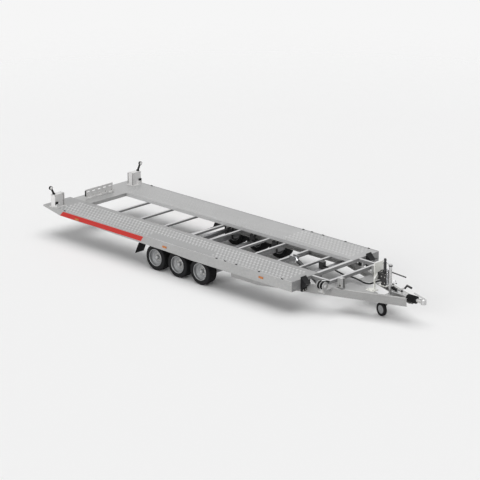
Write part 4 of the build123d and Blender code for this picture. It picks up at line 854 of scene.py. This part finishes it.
def drum_windings():
    """Two black coils between the drum's flanges, its ratchet knob and foot bolts."""
    piece = Shape("drum_windings", "chassis", "black_paint", SOFT_RUBBER)
    axis_y, axis_z = -0.677, 0.485
    for start in (2.3105, 2.3705):
        wound = [(0.0575, 0.0)]
        for turn in range(8):
            along = turn * 0.0061
            wound += [(0.0620, along + 0.001), (0.0650, along + 0.003), (0.0620, along + 0.005)]
        wound += [(0.0575, 0.049)]
        piece.turned(wound, (start, axis_y, axis_z), (1, 0, 0), 40, closed=True)
    hub = [(0, 0), (0.03, 0), (0.03, 0.004), (0.022, 0.010), (0.012, 0.016), (0, 0.016)]
    piece.turned(hub, (2.43, axis_y, axis_z), (1, 0, 0), 28, ZINC_FITTING)
    start = (2.395, axis_y + 0.045, axis_z + 0.060)
    end = (2.452, axis_y + 0.075, axis_z + 0.066)
    piece.rod(start, end, 0.0155, 18)
    start = (2.33, axis_y + 0.03, axis_z + 0.0655)
    end = (2.40, axis_y + 0.055, axis_z + 0.072)
    piece.rod(start, end, 0.007, 10, ZINC_FITTING)
    for x in (2.32, 2.41):
        piece.bolt((x, -0.709, 0.413), (0, 0, 1), 0.007, BOLT_ZINC)
        piece.bolt((x, -0.71, 0.388), (0, -1, 0), 0.007, BOLT_ZINC)
    piece.done()


def catch_trim(side, sign):
    """Pin with a light ring, a bright top shoe and a dark foot on each nose catch."""
    piece = Shape(f"catch_trim_{side}", "chassis", "galvanised", ZINC_FITTING)
    middle_y = sign * 0.419
    pin_x, pin_z = 2.541, 0.464
    ring = [(0.0185, 0.0), (0.0275, 0.0), (0.0275, 0.003), (0.0185, 0.004)]
    for shift, out in ((-0.030, -1), (0.030, 1)):
        at = (pin_x, middle_y + shift, pin_z)
        piece.turned(ring, at, (0, out, 0), 28, BOLT_ZINC, closed=True)
    start, end = (pin_x, middle_y - 0.034, pin_z), (pin_x, middle_y + 0.034, pin_z)
    piece.rod(start, end, 0.012, 18, SOFT_RUBBER)
    piece.block((2.50, middle_y - 0.032, 0.583), (2.582, middle_y + 0.032, 0.592), 0.003, WHITE_STRAP)
    piece.block((2.487, middle_y - 0.0345, 0.4185), (2.595, middle_y + 0.0345, 0.432), 0.003, SOFT_RUBBER)
    piece.done()


def tower_trim():
    """White strap and grey loop on the tower's front, and its bolts."""
    piece = Shape("tower_trim", "chassis", "galvanised", WHITE_STRAP)
    front = 2.9622
    strap = [
        (front + 0.006, -0.046, 0.672), (front + 0.014, -0.062, 0.655), (front + 0.016, -0.088, 0.634),
        (front + 0.012, -0.112, 0.606), (front + 0.006, -0.122, 0.588),
    ]
    for low, high in zip(strap, strap[1:]):
        piece.rod(low, high, 0.0115, 12, edge=0.6)
    loop = []
    for step in range(17):
        angle = math.pi * step / 8
        loop.append((front + 0.010, -0.006 + 0.024 * math.cos(angle), 0.618 + 0.034 * math.sin(angle)))
    piece.bent(loop, 0.0045, 9, ZINC_FITTING)
    for y in (-0.09, 0.09):
        for z in (0.5, 0.8):
            piece.bolt((2.961, y, z), (1, 0, 0), 0.007, BOLT_ZINC)
    for _, sign in SIDES:
        for x in (2.91, 3.01):
            piece.bolt((x, sign * 0.19, 0.429), (0, 0, 1), 0.007, BOLT_ZINC)
    piece.done()


def coupling_trim():
    """Bolts of the coupling head and the clips at the gaiter's ends."""
    piece = Shape("coupling_trim", "chassis", "galvanised", BOLT_ZINC)
    for x in (3.79, 3.835):
        for sign in (-1, 1):
            piece.bolt((x, sign * 0.034, 0.405), (0, sign, 0), 0.008)
    clip = [(0.0455, 0), (0.0495, 0.001), (0.0495, 0.006), (0.0455, 0.007)]
    for x in (3.575, 3.749):
        piece.turned(clip, (x, 0, 0.405), (1, 0, 0), 36, ZINC_FITTING, closed=True)
    piece.done()


pump_fittings()
post_fittings()
brake_fittings()
drum_windings()
tower_trim()
coupling_trim()
for side, sign in SIDES:
    catch_trim(side, sign)


def chock_trim(side, sign):
    """A light wear strip and two screws on each wheel stop at the bed's front."""
    piece = Shape(f"chock_trim_{side}", "bed", "black_paint", ZINC_FITTING)
    low, high = 0.74, 0.86
    y0, y1 = sorted(((low + 0.004) * sign, (high - 0.004) * sign))
    piece.block((FRONT + 0.0985, y0, 0.492), (FRONT + 0.1125, y1, 0.497), 0.0015, steps=1)
    for y in (low + 0.03, high - 0.03):
        piece.bolt((FRONT + 0.034, y * sign, 0.376), (0.95, 0, -0.05), 0.007, BOLT_ZINC)
    piece.done()


# ------------------------------------------------------------------ chassis fixings
def chassis_fixings():
    """Bolts of the axle brackets and the outriggers."""
    piece = Shape("chassis_bolts", "chassis", "galvanised", BOLT_ZINC)
    for sign in (-1, 1):
        for place in AXLES:
            low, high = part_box(f"rim_left_{place}")
            x = (low.x + high.x) / 2 + 0.15
            for shift in (-0.04, 0.04):
                piece.bolt((x + shift, sign * 0.62, 0.4), (0, 0, 1), 0.008)
        for x in (0.75, 0.95, 1.2, 1.45):
            piece.bolt((x, sign * 0.94, 0.413), (0, 0, 1), 0.007)
    piece.done()


chassis_fixings()
for side, sign in SIDES:
    chock_trim(side, sign)


# ------------------------------------------------------------------ stage and light
FLOOR_RADIUS = 24
FLOOR_FADE = (9.0, 20.0)  # distances from the trailer's middle
WORLD_FILL, WORLD_SEEN = 0.30, 0.92  # as light on the trailer, and as seen or reflected
SUNS = (("overhead", (0.05, 0.05, 1.0), 60, 1.75), ("right_side", (0.1, -1.0, 0.25), 45, 1.3))


def pale_floor():
    """A large pale floor that fades out into the white surroundings."""
    finish = Finish("floor_paper", Roughness=0.9, Specular_IOR_Level=0.1)
    fibre = finish.noise(60.0, 2.0)
    finish.feed("Base Color", finish.blend(fibre, (0.91, 0.91, 0.91), (0.93, 0.93, 0.93)))
    reach = finish.node("ShaderNodeVectorMath", {"operation": "LENGTH"}, {0: finish.place}, "Value")
    clear = finish.node("ShaderNodeBsdfTransparent", {}, {})
    paper = Wire(finish, finish.shader.outputs[0])
    mixed = finish.node("ShaderNodeMixShader", {}, {0: reach.ramp(*FLOOR_FADE), 1: paper, 2: clear})
    output = finish.tree.nodes["Material Output"]
    finish.tree.links.new(mixed.socket, output.inputs["Surface"])
    mesh = bmesh.new()
    bmesh.ops.create_circle(mesh, cap_ends=True, segments=96, radius=FLOOR_RADIUS)
    data = bpy.data.meshes.new("floor")
    mesh.to_mesh(data)
    mesh.free()
    floor = bpy.data.objects.new("floor", data)
    data.materials.append(finish.material)
    bpy.context.scene.collection.objects.link(floor)


class Backdrop(Finish):
    """The white world around the trailer, wired like a finish."""

    def __init__(self, name):
        self.world = bpy.data.worlds.new(name)
        bpy.context.scene.world = self.world
        self.world.use_nodes = True
        self.tree = self.world.node_tree
        self.shader = self.tree.nodes["Background"]
        self.shader.inputs["Color"].default_value = (1, 1, 1, 1)

    def ray(self, kind):
        """1 where a ray of this kind meets the world, 0 elsewhere."""
        return self.node("ShaderNodeLightPath", {}, {}, f"Is {kind} Ray")


def studio():
    """A white room: soft light from above and from the right, with white in view and in reflections."""
    backdrop = Backdrop("studio")
    seen = backdrop.ray("Camera")
    for kind in ("Glossy", "Transmission"):
        seen = seen.maths("MAXIMUM", seen, backdrop.ray(kind))
    strengths = {"Value": seen, "To Min": WORLD_FILL, "To Max": WORLD_SEEN}
    backdrop.feed("Strength", backdrop.node("ShaderNodeMapRange", {}, strengths))
    for name, towards, spread, power in SUNS:
        data = bpy.data.lights.new(name, "SUN")
        data.angle, data.energy = math.radians(spread), power
        light = bpy.data.objects.new(name, data)
        light.rotation_euler = Vector(towards).to_track_quat("Z", "Y").to_euler()
        bpy.context.scene.collection.objects.link(light)


pale_floor()
studio()
